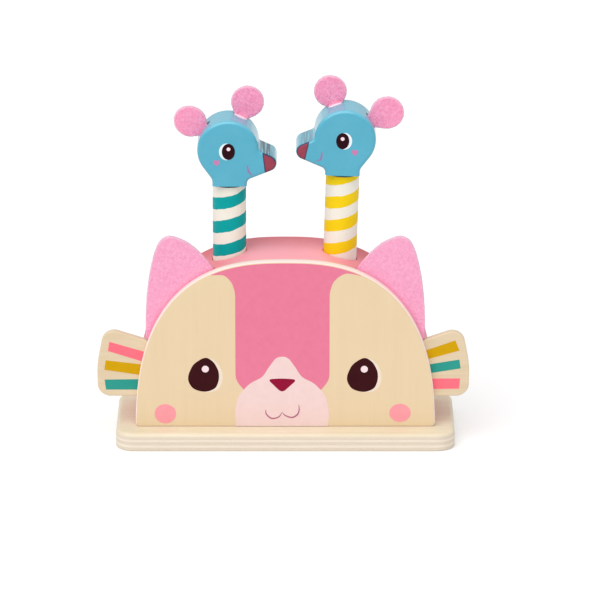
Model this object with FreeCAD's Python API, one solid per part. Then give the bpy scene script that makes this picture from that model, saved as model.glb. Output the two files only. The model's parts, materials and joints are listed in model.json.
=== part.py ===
"""Pop-up animal toy: a cat-faced wooden body on a base board, with two sprung mice on striped pegs.

Each mouse is a round peg with a flat head and two felt ears. The peg runs through a hole in the
body's arched cover and a stop board below it, and ends in a wider foot disc inside a guide tube. A
spring under the foot pushes the mouse up; pressed down, the mouse sinks until its neck is just
above the arch, and it turns freely on the spring's cap.

Frame, in millimetres: the origin is the centre of the base board's underside, +Z is up, +X is to
the right of someone who faces the cat, and the cat's face looks along -Y.
"""
import FreeCAD, Part

import math
import os

Vector = FreeCAD.Vector

# ---- Base board ------------------------------------------------------------------------------
base_thickness = 12.0
base_side_margin = 12.9
base_front_margin = 15.0
base_corner_radius = 12.0
base_top_round = 3.0
base_bottom_round = 1.0

# ---- Body outline: the superellipse |x/a|^p + |z/b|^p = 1, centred below the base's top --------
body_half_width = 99.4
body_curve_height = 123.7
body_curve_power = 2.6
body_curve_drop = 8.4
curve_points = 33
edge_tolerance = 0.01

# ---- Panels and arched cover -----------------------------------------------------------------
front_panel_thickness = 6.0
panel_edge_round = 1.0
panel_foot_round = 3.0
back_panel_thickness = 6.0
cover_thickness = 5.0
cover_depth = 48.0
cover_edge_round = 1.0
hole_lip_round = 0.5
back_panel_edge_round = 0.8
glue_gap = 0.15

# ---- Felt cat ears, measured in from the body's side and up from its top ----------------------
cat_ear_thickness = 3.0
cat_ear_tab_depth = 7.5
cat_ear_low_height = 60.0
cat_ear_low_inset = 7.3
cat_ear_low_lean = 2.0
cat_ear_side = (8.2, -24.0)
cat_ear_shoulder = (12.5, 1.2)
cat_ear_corner = (16.1, 10.7)
cat_ear_tip = (26.5, 15.05)
cat_ear_brow = (40.5, 6.9)
cat_ear_inner_inset = 52.2
felt_slot_gap = 0.3
felt_slot_end_gap = 0.9

# ---- Fin boards: how far each reaches past the body, and their heights above the base ----------
fin_overhangs = {"left": 25.3, "right": 22.5}
fin_thickness = 5.0
fin_inner_reach = 21.4
fin_bottom_height = 19.4
fin_bulge_height = 41.5
fin_tip_height = 67.4
fin_root_height = 53.8
fin_tip_inset = 5.0
fin_foot_inset = 0.4
fin_corner_radius = 8.5
fin_bulge_radius = 60.0
fin_edge_round = 0.8
fin_slot_gap = 0.3

# ---- Side blocks -----------------------------------------------------------------------------
side_block_height = 50.0

# ---- Wells: where each peg stands and how many degrees it leans to +X --------------------------
well_xs = {"left": -36.9, "right": 36.1}
well_leans = {"left": 0.0, "right": 1.8}
mouse_sinks = {"left": 7.8, "right": 0.0}
peg_hole_gap = 0.4
guide_tube_wall = 2.0
guide_tube_gap = 0.5
stop_board_thickness = 8.0
stop_board_drop = 19.3
stop_board_side_margin = 2.2
stop_gap = 0.3

# ---- Pegs and their feet ---------------------------------------------------------------------
peg_diameter = 22.0
peg_length = 82.1
peg_edge_round = 0.6
foot_diameter = 29.0
foot_thickness = 5.0
turn_gap = 0.3

# ---- Mouse head: an outline in the plane of its face, u to the snout, v up from the neck -------
head_thickness = 28.0
head_edge_round = 2.5
skull_radius = 20.2
skull_u = -0.6
skull_v = 24.3
neck_front_lip = 0.8
nape_slope = 54.0
nape_radius = 6.0
snout_tip_u = 25.7
snout_tip_radius = 5.6
snout_jaw_slope = 22.0
snout_bridge_slope = 24.0
snout_throat_radius = 4.0
throat_height = 4.0
snout_bridge_radius = 3.0

# ---- Felt mouse ears: discs with a tab in a slot of the head -----------------------------------
mouse_ear_radius = 10.25
mouse_ear_thickness = 3.0
mouse_ear_tab_width = 9.5
mouse_ear_tab_insert = 4.0
mouse_ear_plane_shifts = {"front": 7.5, "rear": -1.0}
mouse_ear_leans = {
    "left": {"front": 24.8, "rear": -56.1},
    "right": {"front": 21.2, "rear": -59.3},
}
mouse_ear_distances = {
    "left": {"front": 30.3, "rear": 29.5},
    "right": {"front": 29.1, "rear": 31.6},
}
mouse_ear_slot_gap = 0.1
mouse_ear_slot_end_gap = 0.4

# ---- Springs, caps and seats -------------------------------------------------------------------
spring_wire_diameter = 1.5
spring_mean_diameter = 23.5
spring_turns = 9
spring_end_gap = 0.1
cap_gap = 1.0
cap_thickness = 4.0
spigot_height = 6.0
seat_height = 10.0
spigot_gap = 1.0
seat_edge_round = 1.0

# ---- Dowels and screws -------------------------------------------------------------------------
neck_pin_diameter = 8.0
neck_pin_length = 24.0
board_pin_diameter = 5.0
board_pin_length = 14.0
board_pin_panel_depth = 4.0
board_pin_spacing = 26.0
pin_end_gap = 0.2
pin_side_gap = 0.1
screw_shank_diameter = 4.0
screw_head_diameter = 8.0
screw_head_height = 2.4
screw_head_recess = 0.3
screw_tip_radius = 0.2
screw_gap = 0.1
base_screw_length = 32.0
base_screw_spacing = 22.0
base_screw_inset = 15.4
foot_screw_length = 24.0

# ---- Places worked out from the sizes above -----------------------------------------------------
base_top = base_thickness
body_depth = front_panel_thickness + cover_depth
panel_front_y = -body_depth / 2
cover_front_y = panel_front_y + front_panel_thickness
body_back_y = body_depth / 2
back_panel_front_y = body_back_y - back_panel_thickness
well_y = (cover_front_y + body_back_y) / 2
curve_centre_z = base_top - body_curve_drop
body_top_z = curve_centre_z + body_curve_height
stop_board_top = body_top_z - stop_board_drop
stop_board_bottom = stop_board_top - stop_board_thickness
peg_radius = peg_diameter / 2
foot_radius = foot_diameter / 2
tube_inner_radius = foot_radius + guide_tube_gap
tube_outer_radius = tube_inner_radius + guide_tube_wall
cap_radius = tube_inner_radius - cap_gap
spigot_radius = (spring_mean_diameter - spring_wire_diameter) / 2 - spigot_gap
fin_back_y = cover_front_y + fin_thickness
side_block_inner_x = body_half_width - fin_inner_reach
base_screw_x = body_half_width - base_screw_inset
side_signs = {"left": -1, "right": 1}
far = 2 * (body_half_width + body_curve_height)


def curve_height_at(x, inset=0.0):
    """Height of the body's outline at x, with both half-axes made smaller by inset."""
    share = abs(x) / (body_half_width - inset)
    rise = (1 - share**body_curve_power) ** (1 / body_curve_power)
    return curve_centre_z + (body_curve_height - inset) * rise


def curve_wire(inset, y):
    """Closed outline of the body above the base: the superellipse's arch and a straight foot."""
    half_width = body_half_width - inset
    height = body_curve_height - inset
    start = math.asin((body_curve_drop / height) ** (body_curve_power / 2))
    step = (math.pi - 2 * start) / (curve_points - 1)
    points = []
    for index in range(curve_points):
        angle = start + index * step
        across = math.copysign(abs(math.cos(angle)) ** (2 / body_curve_power), math.cos(angle))
        up = math.sin(angle) ** (2 / body_curve_power)
        points.append(Vector(half_width * across, y, curve_centre_z + height * up))
    arch = Part.BSplineCurve()
    arch.interpolate(points)
    foot = Part.LineSegment(points[-1], points[0])
    return Part.Wire([arch.toShape(), foot.toShape()])


def curve_solid(inset, front_y, back_y):
    """Everything inside the body's outline, between two planes across the depth."""
    face = Part.Face(curve_wire(inset, front_y))
    return face.extrude(Vector(0, back_y - front_y, 0))


def box(low, high):
    """Box between two opposite corners."""
    low_corner = Vector(*low)
    size = Vector(*high) - low_corner
    return Part.makeBox(size.x, size.y, size.z, low_corner)


def cylinder(radius, centre_x, centre_y, low_z, high_z):
    """Upright cylinder between two heights."""
    return Part.makeCylinder(radius, high_z - low_z, Vector(centre_x, centre_y, low_z))


def edges_along_y(solid, low_z, high_z):
    """Straight edges of a solid that run front to back, between two heights."""
    found = []
    for edge in solid.Edges:
        bounds = edge.BoundBox
        flat = max(bounds.XLength, bounds.ZLength) < edge_tolerance
        if flat and low_z <= bounds.Center.z <= high_z:
            found.append(edge)
    return found


def edges_in_plane(solid, y):
    """Edges of a solid that lie in the plane of one y."""
    found = []
    for edge in solid.Edges:
        bounds = edge.BoundBox
        if max(abs(bounds.YMin - y), abs(bounds.YMax - y)) < edge_tolerance:
            found.append(edge)
    return found


def arch_edges(solid, y):
    """Edges in the plane of one y that stand above the base board."""
    return [e for e in edges_in_plane(solid, y) if e.BoundBox.ZMax > base_top + edge_tolerance]


def rounded_prism(corners, front_y, back_y):
    """Prism on a polygon in the XZ plane; corners holds (x, z, radius) for each corner in turn."""
    count = len(corners)
    points = [Vector(x, front_y, z) for x, z, _ in corners]
    ends = []
    for index, (_, _, radius) in enumerate(corners):
        here = points[index]
        back = (points[index - 1] - here).normalize()
        ahead = (points[(index + 1) % count] - here).normalize()
        half_angle = back.getAngle(ahead) / 2
        reach = radius / math.tan(half_angle)
        middle = here + (back + ahead).normalize() * (radius / math.sin(half_angle) - radius)
        ends.append((here + back * reach, middle, here + ahead * reach))
    edges = []
    for index, (arrive, middle, leave) in enumerate(ends):
        if corners[index][2]:
            edges.append(Part.Arc(arrive, middle, leave).toShape())
        edges.append(Part.LineSegment(leave, ends[(index + 1) % count][0]).toShape())
    return Part.Face(Part.Wire(edges)).extrude(Vector(0, back_y - front_y, 0))


def lean(shape, side):
    """Tilt a shape of one well about the point where its peg leaves the body."""
    pivot = Vector(well_xs[side], well_y, curve_height_at(well_xs[side]))
    shape.rotate(pivot, Vector(0, 1, 0), well_leans[side])
    return shape


def well_cylinder(side, radius, low_z, high_z):
    """Cylinder on one well's own leaning axis."""
    return lean(cylinder(radius, well_xs[side], well_y, low_z, high_z), side)


def peg_hole(side):
    """Room for one peg in the stop board and the cover."""
    radius = peg_radius + peg_hole_gap
    return well_cylinder(side, radius, stop_board_bottom - foot_thickness, body_top_z + peg_diameter)


def between_heights(shape, low_z, high_z):
    """The part of a shape between two level planes."""
    return shape.common(box((-far, -far, low_z), (far, far, high_z)))


def countersunk_screw(length):
    """Countersunk wood screw that points up, with its head's flat face at z = 0."""
    head = Part.makeCone(screw_head_diameter / 2, screw_shank_diameter / 2, screw_head_height)
    point_height = screw_shank_diameter
    shank_height = length - point_height - screw_head_height
    shank = Part.makeCylinder(screw_shank_diameter / 2, shank_height, Vector(0, 0, screw_head_height))
    tip_start = Vector(0, 0, length - point_height)
    tip = Part.makeCone(screw_shank_diameter / 2, screw_tip_radius, point_height, tip_start)
    return head.fuse([shank, tip]).removeSplitter()


def screw_hole(length):
    """Room for a countersunk screw that points up, from below its head to past its tip."""
    head_room = screw_head_diameter / 2 + screw_gap
    shank_room = screw_shank_diameter / 2 + screw_gap
    recess = Part.makeCylinder(head_room, screw_head_recess, Vector(0, 0, -screw_head_recess))
    sink = Part.makeCone(head_room, shank_room, screw_head_height)
    shank_start = Vector(0, 0, screw_head_height)
    shank = Part.makeCylinder(shank_room, length + pin_end_gap - screw_head_height, shank_start)
    return recess.fuse([sink, shank])


def moved(shape, x, y, z):
    """Copy of a shape, moved by a vector."""
    copy = shape.copy()
    copy.translate(Vector(x, y, z))
    return copy


# ---- Base ---------------------------------------------------------------------------------------
def base_screw_places():
    """Where the base screws' heads are: two under each side block."""
    block_middle_y = (fin_back_y + back_panel_front_y) / 2
    places = []
    for sign in side_signs.values():
        for half in (-0.5, 0.5):
            screw_y = block_middle_y + half * base_screw_spacing
            places.append((sign * base_screw_x, screw_y, screw_head_recess))
    return places


def base_board():
    """Rounded base board with countersunk holes for the side blocks' screws."""
    half_length = body_half_width + base_side_margin
    half_depth = body_depth / 2 + base_front_margin
    board = box((-half_length, -half_depth, 0), (half_length, half_depth, base_thickness))
    middle_z = base_thickness / 2
    board = board.makeFillet(base_corner_radius, [e for e in board.Edges if e.BoundBox.ZLength > middle_z])
    board = board.makeFillet(base_top_round, [e for e in board.Edges if e.BoundBox.ZMin > middle_z])
    board = board.makeFillet(base_bottom_round, [e for e in board.Edges if e.BoundBox.ZMax < edge_tolerance])
    holes = [moved(screw_hole(base_screw_length), *place) for place in base_screw_places()]
    return board.cut(holes)


def base_screws():
    """The wood screws that hold the side blocks down on the base board."""
    screw = countersunk_screw(base_screw_length)
    return Part.makeCompound([moved(screw, *place) for place in base_screw_places()])


# ---- Body ---------------------------------------------------------------------------------------
def board_pin_places():
    """Left end of each stop board pin along the depth: two in each panel."""
    front_start = cover_front_y - board_pin_panel_depth + pin_end_gap
    back_start = back_panel_front_y + board_pin_panel_depth - pin_end_gap - board_pin_length
    pin_z = stop_board_bottom + stop_board_thickness / 2
    places = []
    for half in (-0.5, 0.5):
        places.append(Vector(half * board_pin_spacing, front_start, pin_z))
        places.append(Vector(half * board_pin_spacing, back_start, pin_z))
    return places


def board_pins(side_gap=0.0, end_gap=0.0):
    """Dowels between the panels and the stop board, or with gaps the holes that hold them."""
    radius = board_pin_diameter / 2 + side_gap
    length = board_pin_length + 2 * end_gap
    along = Vector(0, 1, 0)
    pins = [Part.makeCylinder(radius, length, p - along * end_gap, along) for p in board_pin_places()]
    return Part.makeCompound(pins)


def board_pin_holes():
    """Holes for the stop board's dowels."""
    return board_pins(pin_side_gap, pin_end_gap)


def front_panel():
    """Cat's face: a flat board on the body's outline, with a softened front edge."""
    panel = curve_solid(0, panel_front_y, cover_front_y)
    panel = panel.makeFillet(panel_foot_round, edges_along_y(panel, 0, base_top + edge_tolerance))
    panel = panel.makeFillet(panel_edge_round, edges_in_plane(panel, panel_front_y))
    return panel.cut(board_pin_holes())


def back_panel():
    """Flat board that closes the back, set inside the arched cover."""
    panel = curve_solid(cover_thickness + glue_gap, back_panel_front_y, body_back_y)
    panel = panel.makeFillet(back_panel_edge_round, arch_edges(panel, body_back_y))
    return panel.cut(board_pin_holes())


def arc_chain(start, way, ends):
    """Arcs from start to each end in turn, each of which sets out the way the one before arrived."""
    arcs = []
    for end in ends:
        chord = end - start
        ahead = Vector(chord).normalize()
        lead = way + ahead
        middle = start + lead * (chord.Length / lead.dot(lead))
        arcs.append(Part.Arc(start, middle, end).toShape())
        way = ahead * (2 * way.dot(ahead)) - way
        start = end
    return arcs


def cat_ear_region(sign, front_y, back_y, end_gap):
    """Prism of one cat ear with its tab still whole, reaching past the tab's ends by end_gap."""
    def point(inset, rise):
        return Vector(sign * (body_half_width - inset), front_y, body_top_z + rise)

    inner_x = body_half_width - cat_ear_inner_inset - end_gap
    inner_top = Vector(sign * inner_x, front_y, curve_height_at(inner_x))
    inner_low = Vector(sign * inner_x, front_y, inner_top.z - 2 * cat_ear_tab_depth)
    low_z = base_top + cat_ear_low_height - end_gap
    up_share = (low_z - curve_centre_z) / body_curve_height
    low_x = body_half_width * (1 - up_share**body_curve_power) ** (1 / body_curve_power)
    low_outer = Vector(sign * (body_half_width - cat_ear_low_inset), front_y, low_z)
    low_inner = Vector(sign * (low_x - 2 * cat_ear_tab_depth), front_y, low_z)
    lean_angle = math.radians(cat_ear_low_lean)
    way = Vector(sign * math.sin(lean_angle), 0, math.cos(lean_angle))
    ends = [point(*p) for p in (cat_ear_side, cat_ear_shoulder, cat_ear_corner, cat_ear_tip, cat_ear_brow)]
    edges = arc_chain(low_outer, way, ends + [inner_top])
    corners = [inner_top, inner_low, low_inner, low_outer]
    edges += [Part.LineSegment(*pair).toShape() for pair in zip(corners, corners[1:])]
    return Part.Face(Part.Wire(edges)).extrude(Vector(0, back_y - front_y, 0))


def cat_ear(sign):
    """Felt cat ear with a curved tab that is glued between the front panel and the cover."""
    back_y = cover_front_y + cat_ear_thickness
    ear = cat_ear_region(sign, cover_front_y, back_y, 0)
    return ear.cut(curve_solid(cat_ear_tab_depth, cover_front_y, back_y))


def cat_ear_slots():
    """Room for both cat ears' tabs in the front edge of the cover."""
    back_y = cover_front_y + cat_ear_thickness + felt_slot_gap
    return [cat_ear_region(s, cover_front_y, back_y, felt_slot_end_gap) for s in side_signs.values()]


def fin_prism(side, gap):
    """Fin board's outline as a prism; with a gap, the room that its root needs in the cover."""
    sign = side_signs[side]
    reach = body_half_width + fin_overhangs[side]
    low_z = base_top + fin_bottom_height - gap
    corners = [
        (sign * side_block_inner_x, low_z, 0),
        (sign * (reach - fin_foot_inset), low_z, fin_corner_radius),
        (sign * reach, base_top + fin_bulge_height, fin_bulge_radius),
        (sign * (reach - fin_tip_inset), base_top + fin_tip_height + gap, fin_corner_radius),
        (sign * side_block_inner_x, base_top + fin_root_height + gap, 0),
    ]
    return rounded_prism(corners, cover_front_y, fin_back_y + gap)


def fin_board(side):
    """Ply fin that is glued behind the front panel and stands out at the body's side."""
    fin = fin_prism(side, 0)
    rims = edges_in_plane(fin, cover_front_y) + edges_in_plane(fin, fin_back_y)
    inner_end = side_block_inner_x + edge_tolerance
    rims = [e for e in rims if max(abs(e.BoundBox.XMin), abs(e.BoundBox.XMax)) > inner_end]
    return fin.makeFillet(fin_edge_round, rims)


def arch_cover():
    """Bent board over the body, with the pegs' holes and the slots for ears and fins."""
    cover = curve_solid(0, cover_front_y, body_back_y)
    cover = cover.makeFillet(cover_edge_round, arch_edges(cover, body_back_y))
    cover = cover.cut(curve_solid(cover_thickness, cover_front_y, body_back_y))
    cover = cover.cut([peg_hole(side) for side in side_signs])
    lips = [e for e in cover.Edges if is_hole_lip(e)]
    cover = cover.makeFillet(hole_lip_round, lips)
    return cover.cut(cat_ear_slots() + [fin_prism(side, fin_slot_gap) for side in side_signs])


def is_hole_lip(edge):
    """Whether an edge of the cover is the outer rim of a peg's hole."""
    bounds = edge.BoundBox
    round_rim = abs(bounds.YLength - 2 * (peg_radius + peg_hole_gap)) < peg_hole_gap
    return round_rim and bounds.ZMax > curve_height_at(bounds.Center.x)


def stop_board():
    """Level board under the arch that guides both pegs and stops their feet."""
    half_length = max(abs(x) for x in well_xs.values()) + foot_radius + stop_board_side_margin
    low = (-half_length, cover_front_y, stop_board_bottom)
    high = (half_length, back_panel_front_y, stop_board_top)
    inside = curve_solid(cover_thickness + glue_gap, cover_front_y, back_panel_front_y)
    board = box(low, high).common(inside)
    cuts = [board_pin_holes()] + cat_ear_slots()
    for side in side_signs:
        cuts.append(peg_hole(side))
    return board.cut(cuts)


def side_block(side):
    """Wooden block in a bottom corner of the body, shaped to the inside of the cover."""
    sign = side_signs[side]
    xs = sorted((sign * side_block_inner_x, sign * body_half_width))
    low = (xs[0], fin_back_y, base_top)
    high = (xs[1], back_panel_front_y, base_top + side_block_height)
    inside = curve_solid(cover_thickness + glue_gap, fin_back_y, back_panel_front_y)
    holes = [moved(screw_hole(base_screw_length), *place) for place in base_screw_places()]
    return box(low, high).common(inside).cut(holes)


# ---- Wells --------------------------------------------------------------------------------------
def neck_height(side):
    """Height of a head's underside at rest, along the well's own axis."""
    return foot_top(side) + peg_length


def foot_top(side):
    """Height of a foot disc's top at rest: under the stop board, and lower for a sunken mouse."""
    rim_rise = foot_radius * math.tan(math.radians(abs(well_leans[side])))
    return stop_board_bottom - stop_gap - rim_rise - mouse_sinks[side]


def cap_top(side):
    """Height of a spring cap's top at rest."""
    return foot_top(side) - foot_thickness - turn_gap


def guide_tube(side):
    """Tube that the foot runs in, from the base to the stop board."""
    ends = (base_top - foot_diameter, stop_board_bottom + foot_diameter)
    tube = well_cylinder(side, tube_outer_radius, *ends)
    tube = tube.cut(well_cylinder(side, tube_inner_radius, *ends))
    return between_heights(tube, base_top, stop_board_bottom)


def spring_seat(side):
    """Turned plug on the base that centres the spring."""
    seat = well_cylinder(side, spigot_radius, base_top - seat_height, base_top + seat_height)
    rim = [e for e in seat.Edges if e.BoundBox.ZMin > base_top]
    return between_heights(seat.makeFillet(seat_edge_round, rim), base_top, far)


def spring(side):
    """Coil spring from the base to the cap, as one helix of round wire."""
    wire_radius = spring_wire_diameter / 2
    lean_rise = (spring_mean_diameter / 2 + wire_radius) * math.tan(math.radians(abs(well_leans[side])))
    low_z = base_top + wire_radius + spring_end_gap + lean_rise
    high_z = cap_top(side) - cap_thickness - wire_radius - spring_end_gap
    height = high_z - low_z
    path = Part.makeHelix(height / spring_turns, height, spring_mean_diameter / 2)
    start = Vector(spring_mean_diameter / 2, 0, 0)
    section = Part.Wire(Part.Circle(start, Vector(0, 1, 0), wire_radius).toShape())
    coil = Part.Wire(path.Edges).makePipeShell([section], True, True)
    return lean(moved(coil, well_xs[side], well_y, low_z), side)


def spring_cap(side):
    """Disc that slides in the tube, with a spigot in the spring; the mouse turns on it."""
    top = cap_top(side)
    disc = cylinder(cap_radius, well_xs[side], well_y, top - cap_thickness, top)
    spigot_low = top - cap_thickness - spigot_height
    spigot = cylinder(spigot_radius, well_xs[side], well_y, spigot_low, top - cap_thickness)
    return lean(disc.fuse(spigot).removeSplitter(), side)


# ---- Mice ---------------------------------------------------------------------------------------
def foot_disc(side):
    """Wide disc on the peg's lower end that cannot leave through the stop board."""
    top = foot_top(side)
    disc = cylinder(foot_radius, well_xs[side], well_y, top - foot_thickness, top)
    hole = moved(screw_hole(foot_screw_length), *foot_screw_place(side))
    return lean(disc.cut(hole), side)


def foot_screw_place(side):
    """Where a foot screw's head is, before the well's lean."""
    return (well_xs[side], well_y, foot_top(side) - foot_thickness + screw_head_recess)


def foot_screw(side):
    """Wood screw through the foot disc into the peg."""
    return lean(moved(countersunk_screw(foot_screw_length), *foot_screw_place(side)), side)


def neck_pin(side, side_gap=0.0, end_gap=0.0):
    """Dowel between peg and head, or with gaps the hole that holds it."""
    neck_z = neck_height(side)
    half = neck_pin_length / 2 + end_gap
    radius = neck_pin_diameter / 2 + side_gap
    return cylinder(radius, well_xs[side], well_y, neck_z - half, neck_z + half)


def peg(side):
    """Round peg from the foot disc to the head's neck."""
    body = cylinder(peg_radius, well_xs[side], well_y, foot_top(side), neck_height(side))
    rims = [e for e in body.Edges if e.BoundBox.ZLength < edge_tolerance]
    body = body.makeFillet(peg_edge_round, rims)
    pin_hole = neck_pin(side, pin_side_gap, pin_end_gap)
    screw_room = moved(screw_hole(foot_screw_length), *foot_screw_place(side))
    return lean(body.cut([pin_hole, screw_room]), side)


def head_outline():
    """Wire of the head's outline at y = 0: skull, bridge, snout, throat, neck and nape as arcs."""
    skull = Vector(skull_u, 0, skull_v)
    neck = peg_radius
    throat_u = neck + neck_front_lip
    jaw = math.radians(snout_jaw_slope)
    bridge = math.radians(snout_bridge_slope)
    tip_rise = (snout_tip_u - throat_u) * math.tan(jaw) + snout_tip_radius / math.cos(jaw)
    tip = Vector(snout_tip_u, 0, throat_height + tip_rise)

    jaw_out = Vector(math.sin(jaw), 0, -math.cos(jaw))
    jaw_start = tip + jaw_out * snout_tip_radius
    throat_run = (throat_u + snout_throat_radius * (1 - jaw_out.x) - jaw_start.x) / math.cos(jaw)
    jaw_end = jaw_start + Vector(math.cos(jaw), 0, math.sin(jaw)) * throat_run
    throat = jaw_end + jaw_out * snout_throat_radius
    throat_end = throat - Vector(snout_throat_radius, 0, 0)

    top_out = Vector(math.sin(bridge), 0, math.cos(bridge))
    top_start = tip + top_out * snout_tip_radius
    top_way = Vector(-math.cos(bridge), 0, math.sin(bridge))
    offset_start = top_start + top_out * snout_bridge_radius - skull
    reach = skull_radius + snout_bridge_radius
    along = offset_start.dot(top_way)
    bridge_run = -along - math.sqrt(along**2 - offset_start.dot(offset_start) + reach**2)
    top_end = top_start + top_way * bridge_run
    bridge_centre = top_end + top_out * snout_bridge_radius
    skull_start = skull + (bridge_centre - skull) * (skull_radius / reach)

    nape_angle = math.radians(nape_slope)
    nape_out = Vector(-math.sin(nape_angle), 0, -math.cos(nape_angle))
    skull_end = skull + nape_out * skull_radius
    nape_u = -neck - nape_radius
    nape_v = skull_end.z + (nape_radius - (nape_u - skull_end.x) * nape_out.x) / nape_out.z
    nape = Vector(nape_u, 0, nape_v)
    nape_start = nape - nape_out * nape_radius
    nape_end = Vector(-neck, 0, nape_v)
    crown = skull + Vector(0, 0, skull_radius)

    def bulge(centre, start, end, radius):
        return centre + ((start - centre) + (end - centre)).normalize() * radius

    def line(start, end):
        return Part.LineSegment(start, end).toShape()

    def arc(start, middle, end):
        return Part.Arc(start, middle, end).toShape()

    throat_middle = bulge(throat, jaw_end, throat_end, snout_throat_radius)
    bridge_middle = bulge(bridge_centre, top_end, skull_start, snout_bridge_radius)
    nape_middle = bulge(nape, nape_start, nape_end, nape_radius)
    return Part.Wire([
        line(Vector(-neck, 0, 0), Vector(throat_u, 0, 0)),
        line(Vector(throat_u, 0, 0), throat_end),
        arc(throat_end, throat_middle, jaw_end),
        line(jaw_end, jaw_start),
        arc(jaw_start, tip + Vector(snout_tip_radius, 0, 0), top_start),
        line(top_start, top_end),
        arc(top_end, bridge_middle, skull_start),
        arc(skull_start, crown, skull_end),
        line(skull_end, nape_start),
        arc(nape_start, nape_middle, nape_end),
        line(nape_end, Vector(-neck, 0, 0)),
    ])


def in_ear_place(shape, side, place):
    """Lean a shape that stands over the skull's centre to an ear's place in the head's own frame."""
    shape.rotate(Vector(0, 0, 0), Vector(0, 1, 0), mouse_ear_leans[side][place])
    return moved(shape, skull_u, 0, skull_v)


def mouse_ear_blank(side, place):
    """Disc of felt that narrows along two tangents to its tab."""
    front_y = mouse_ear_plane_shifts[place] - mouse_ear_thickness / 2
    depth = Vector(0, mouse_ear_thickness, 0)
    distance = mouse_ear_distances[side][place]
    half = mouse_ear_tab_width / 2
    foot_z = math.sqrt(skull_radius**2 - half**2)
    drop = distance - foot_z
    reach = half**2 + drop**2
    slide = math.sqrt(max(reach - mouse_ear_radius**2, 0))
    touch_x = mouse_ear_radius * (mouse_ear_radius * half + slide * drop) / reach
    touch_z = distance - mouse_ear_radius * (mouse_ear_radius * drop - slide * half) / reach
    outline = [(half, skull_radius - mouse_ear_tab_insert), (half, foot_z), (touch_x, touch_z)]
    outline += [(-x, z) for x, z in reversed(outline)]
    corners = [Vector(x, front_y, z) for x, z in outline]
    skirt = Part.Face(Part.makePolygon(corners + corners[:1])).extrude(depth)
    disc_middle = Vector(0, front_y, distance)
    disc = Part.makeCylinder(mouse_ear_radius, mouse_ear_thickness, disc_middle, Vector(0, 1, 0))
    return in_ear_place(skirt.fuse(disc).removeSplitter(), side, place)


def mouse_ear_slot(side, place):
    """Slot in the head for one ear's tab."""
    half = mouse_ear_tab_width / 2 + mouse_ear_slot_end_gap
    thickness = mouse_ear_thickness + 2 * mouse_ear_slot_gap
    front_y = mouse_ear_plane_shifts[place] - thickness / 2
    low_z = skull_radius - mouse_ear_tab_insert - mouse_ear_slot_gap
    slot = box((-half, front_y, low_z), (half, front_y + thickness, mouse_ear_distances[side][place]))
    return in_ear_place(slot, side, place)


def on_mouse(shape, side):
    """Put a shape of the head's own frame on its peg, with the left mouse looking to +X."""
    placed = shape if side == "left" else shape.mirror(Vector(0, 0, 0), Vector(1, 0, 0))
    return lean(moved(placed, well_xs[side], well_y, neck_height(side)), side)


def mouse_head(side):
    """Flat head cut from thick board, with rounded rims, ear slots and the neck pin's hole."""
    half = head_thickness / 2
    blank = Part.Face(head_outline()).extrude(Vector(0, head_thickness, 0))
    blank.translate(Vector(0, -half, 0))
    rims = edges_in_plane(blank, -half) + edges_in_plane(blank, half)
    rims = [e for e in rims if e.BoundBox.ZMax > edge_tolerance]
    blank = blank.makeFillet(head_edge_round, rims)
    blank = blank.cut([mouse_ear_slot(side, place) for place in mouse_ear_leans[side]])
    hole_depth = neck_pin_length / 2 + pin_end_gap
    pin_hole = Part.makeCylinder(neck_pin_diameter / 2 + pin_side_gap, hole_depth)
    return on_mouse(blank.cut(pin_hole), side)


def mouse_ear(side, place):
    """Felt ear of a mouse."""
    return on_mouse(mouse_ear_blank(side, place), side)


# ---- All pieces -----------------------------------------------------------------------------------
def housing_nodes():
    """Every piece that stays still."""
    nodes = {
        "base_board": base_board(),
        "base_screws": base_screws(),
        "front_panel": front_panel(),
        "back_panel": back_panel(),
        "arch_cover": arch_cover(),
        "stop_board": stop_board(),
        "stop_board_dowels": board_pins(),
    }
    for side, sign in side_signs.items():
        nodes[side + "_cat_ear"] = cat_ear(sign)
        nodes[side + "_fin_board"] = fin_board(side)
        nodes[side + "_side_block"] = side_block(side)
        nodes[side + "_guide_tube"] = guide_tube(side)
        nodes[side + "_spring_seat"] = spring_seat(side)
        nodes[side + "_spring"] = spring(side)
    return nodes


def mouse_nodes(side):
    """Every piece of one mouse, and the cap that it turns on."""
    return {
        side + "_spring_cap": spring_cap(side),
        side + "_foot_disc": foot_disc(side),
        side + "_foot_screw": foot_screw(side),
        side + "_peg": peg(side),
        side + "_neck_pin": lean(neck_pin(side), side),
        side + "_mouse_head": mouse_head(side),
        side + "_mouse_front_ear": mouse_ear(side, "front"),
        side + "_mouse_rear_ear": mouse_ear(side, "rear"),
    }


def main():
    """Write one STEP file for each piece."""
    os.makedirs("parts", exist_ok=True)
    nodes = housing_nodes()
    for side in side_signs:
        nodes.update(mouse_nodes(side))
    for name, shape in nodes.items():
        shape.exportStep("parts/" + name + ".step")


main()
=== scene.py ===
"""Pop-up toy with a cat-faced body and two sprung mice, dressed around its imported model.

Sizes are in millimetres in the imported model's frame, and meshes are scaled to metres when they are
made. The origin is the centre of the base board's underside, +Z is up, +X is to the right of
someone who faces the cat, and the cat looks along -Y.
"""
from __future__ import annotations

import itertools
import json
import logging
import math
from dataclasses import dataclass, field
from enum import Enum

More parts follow.
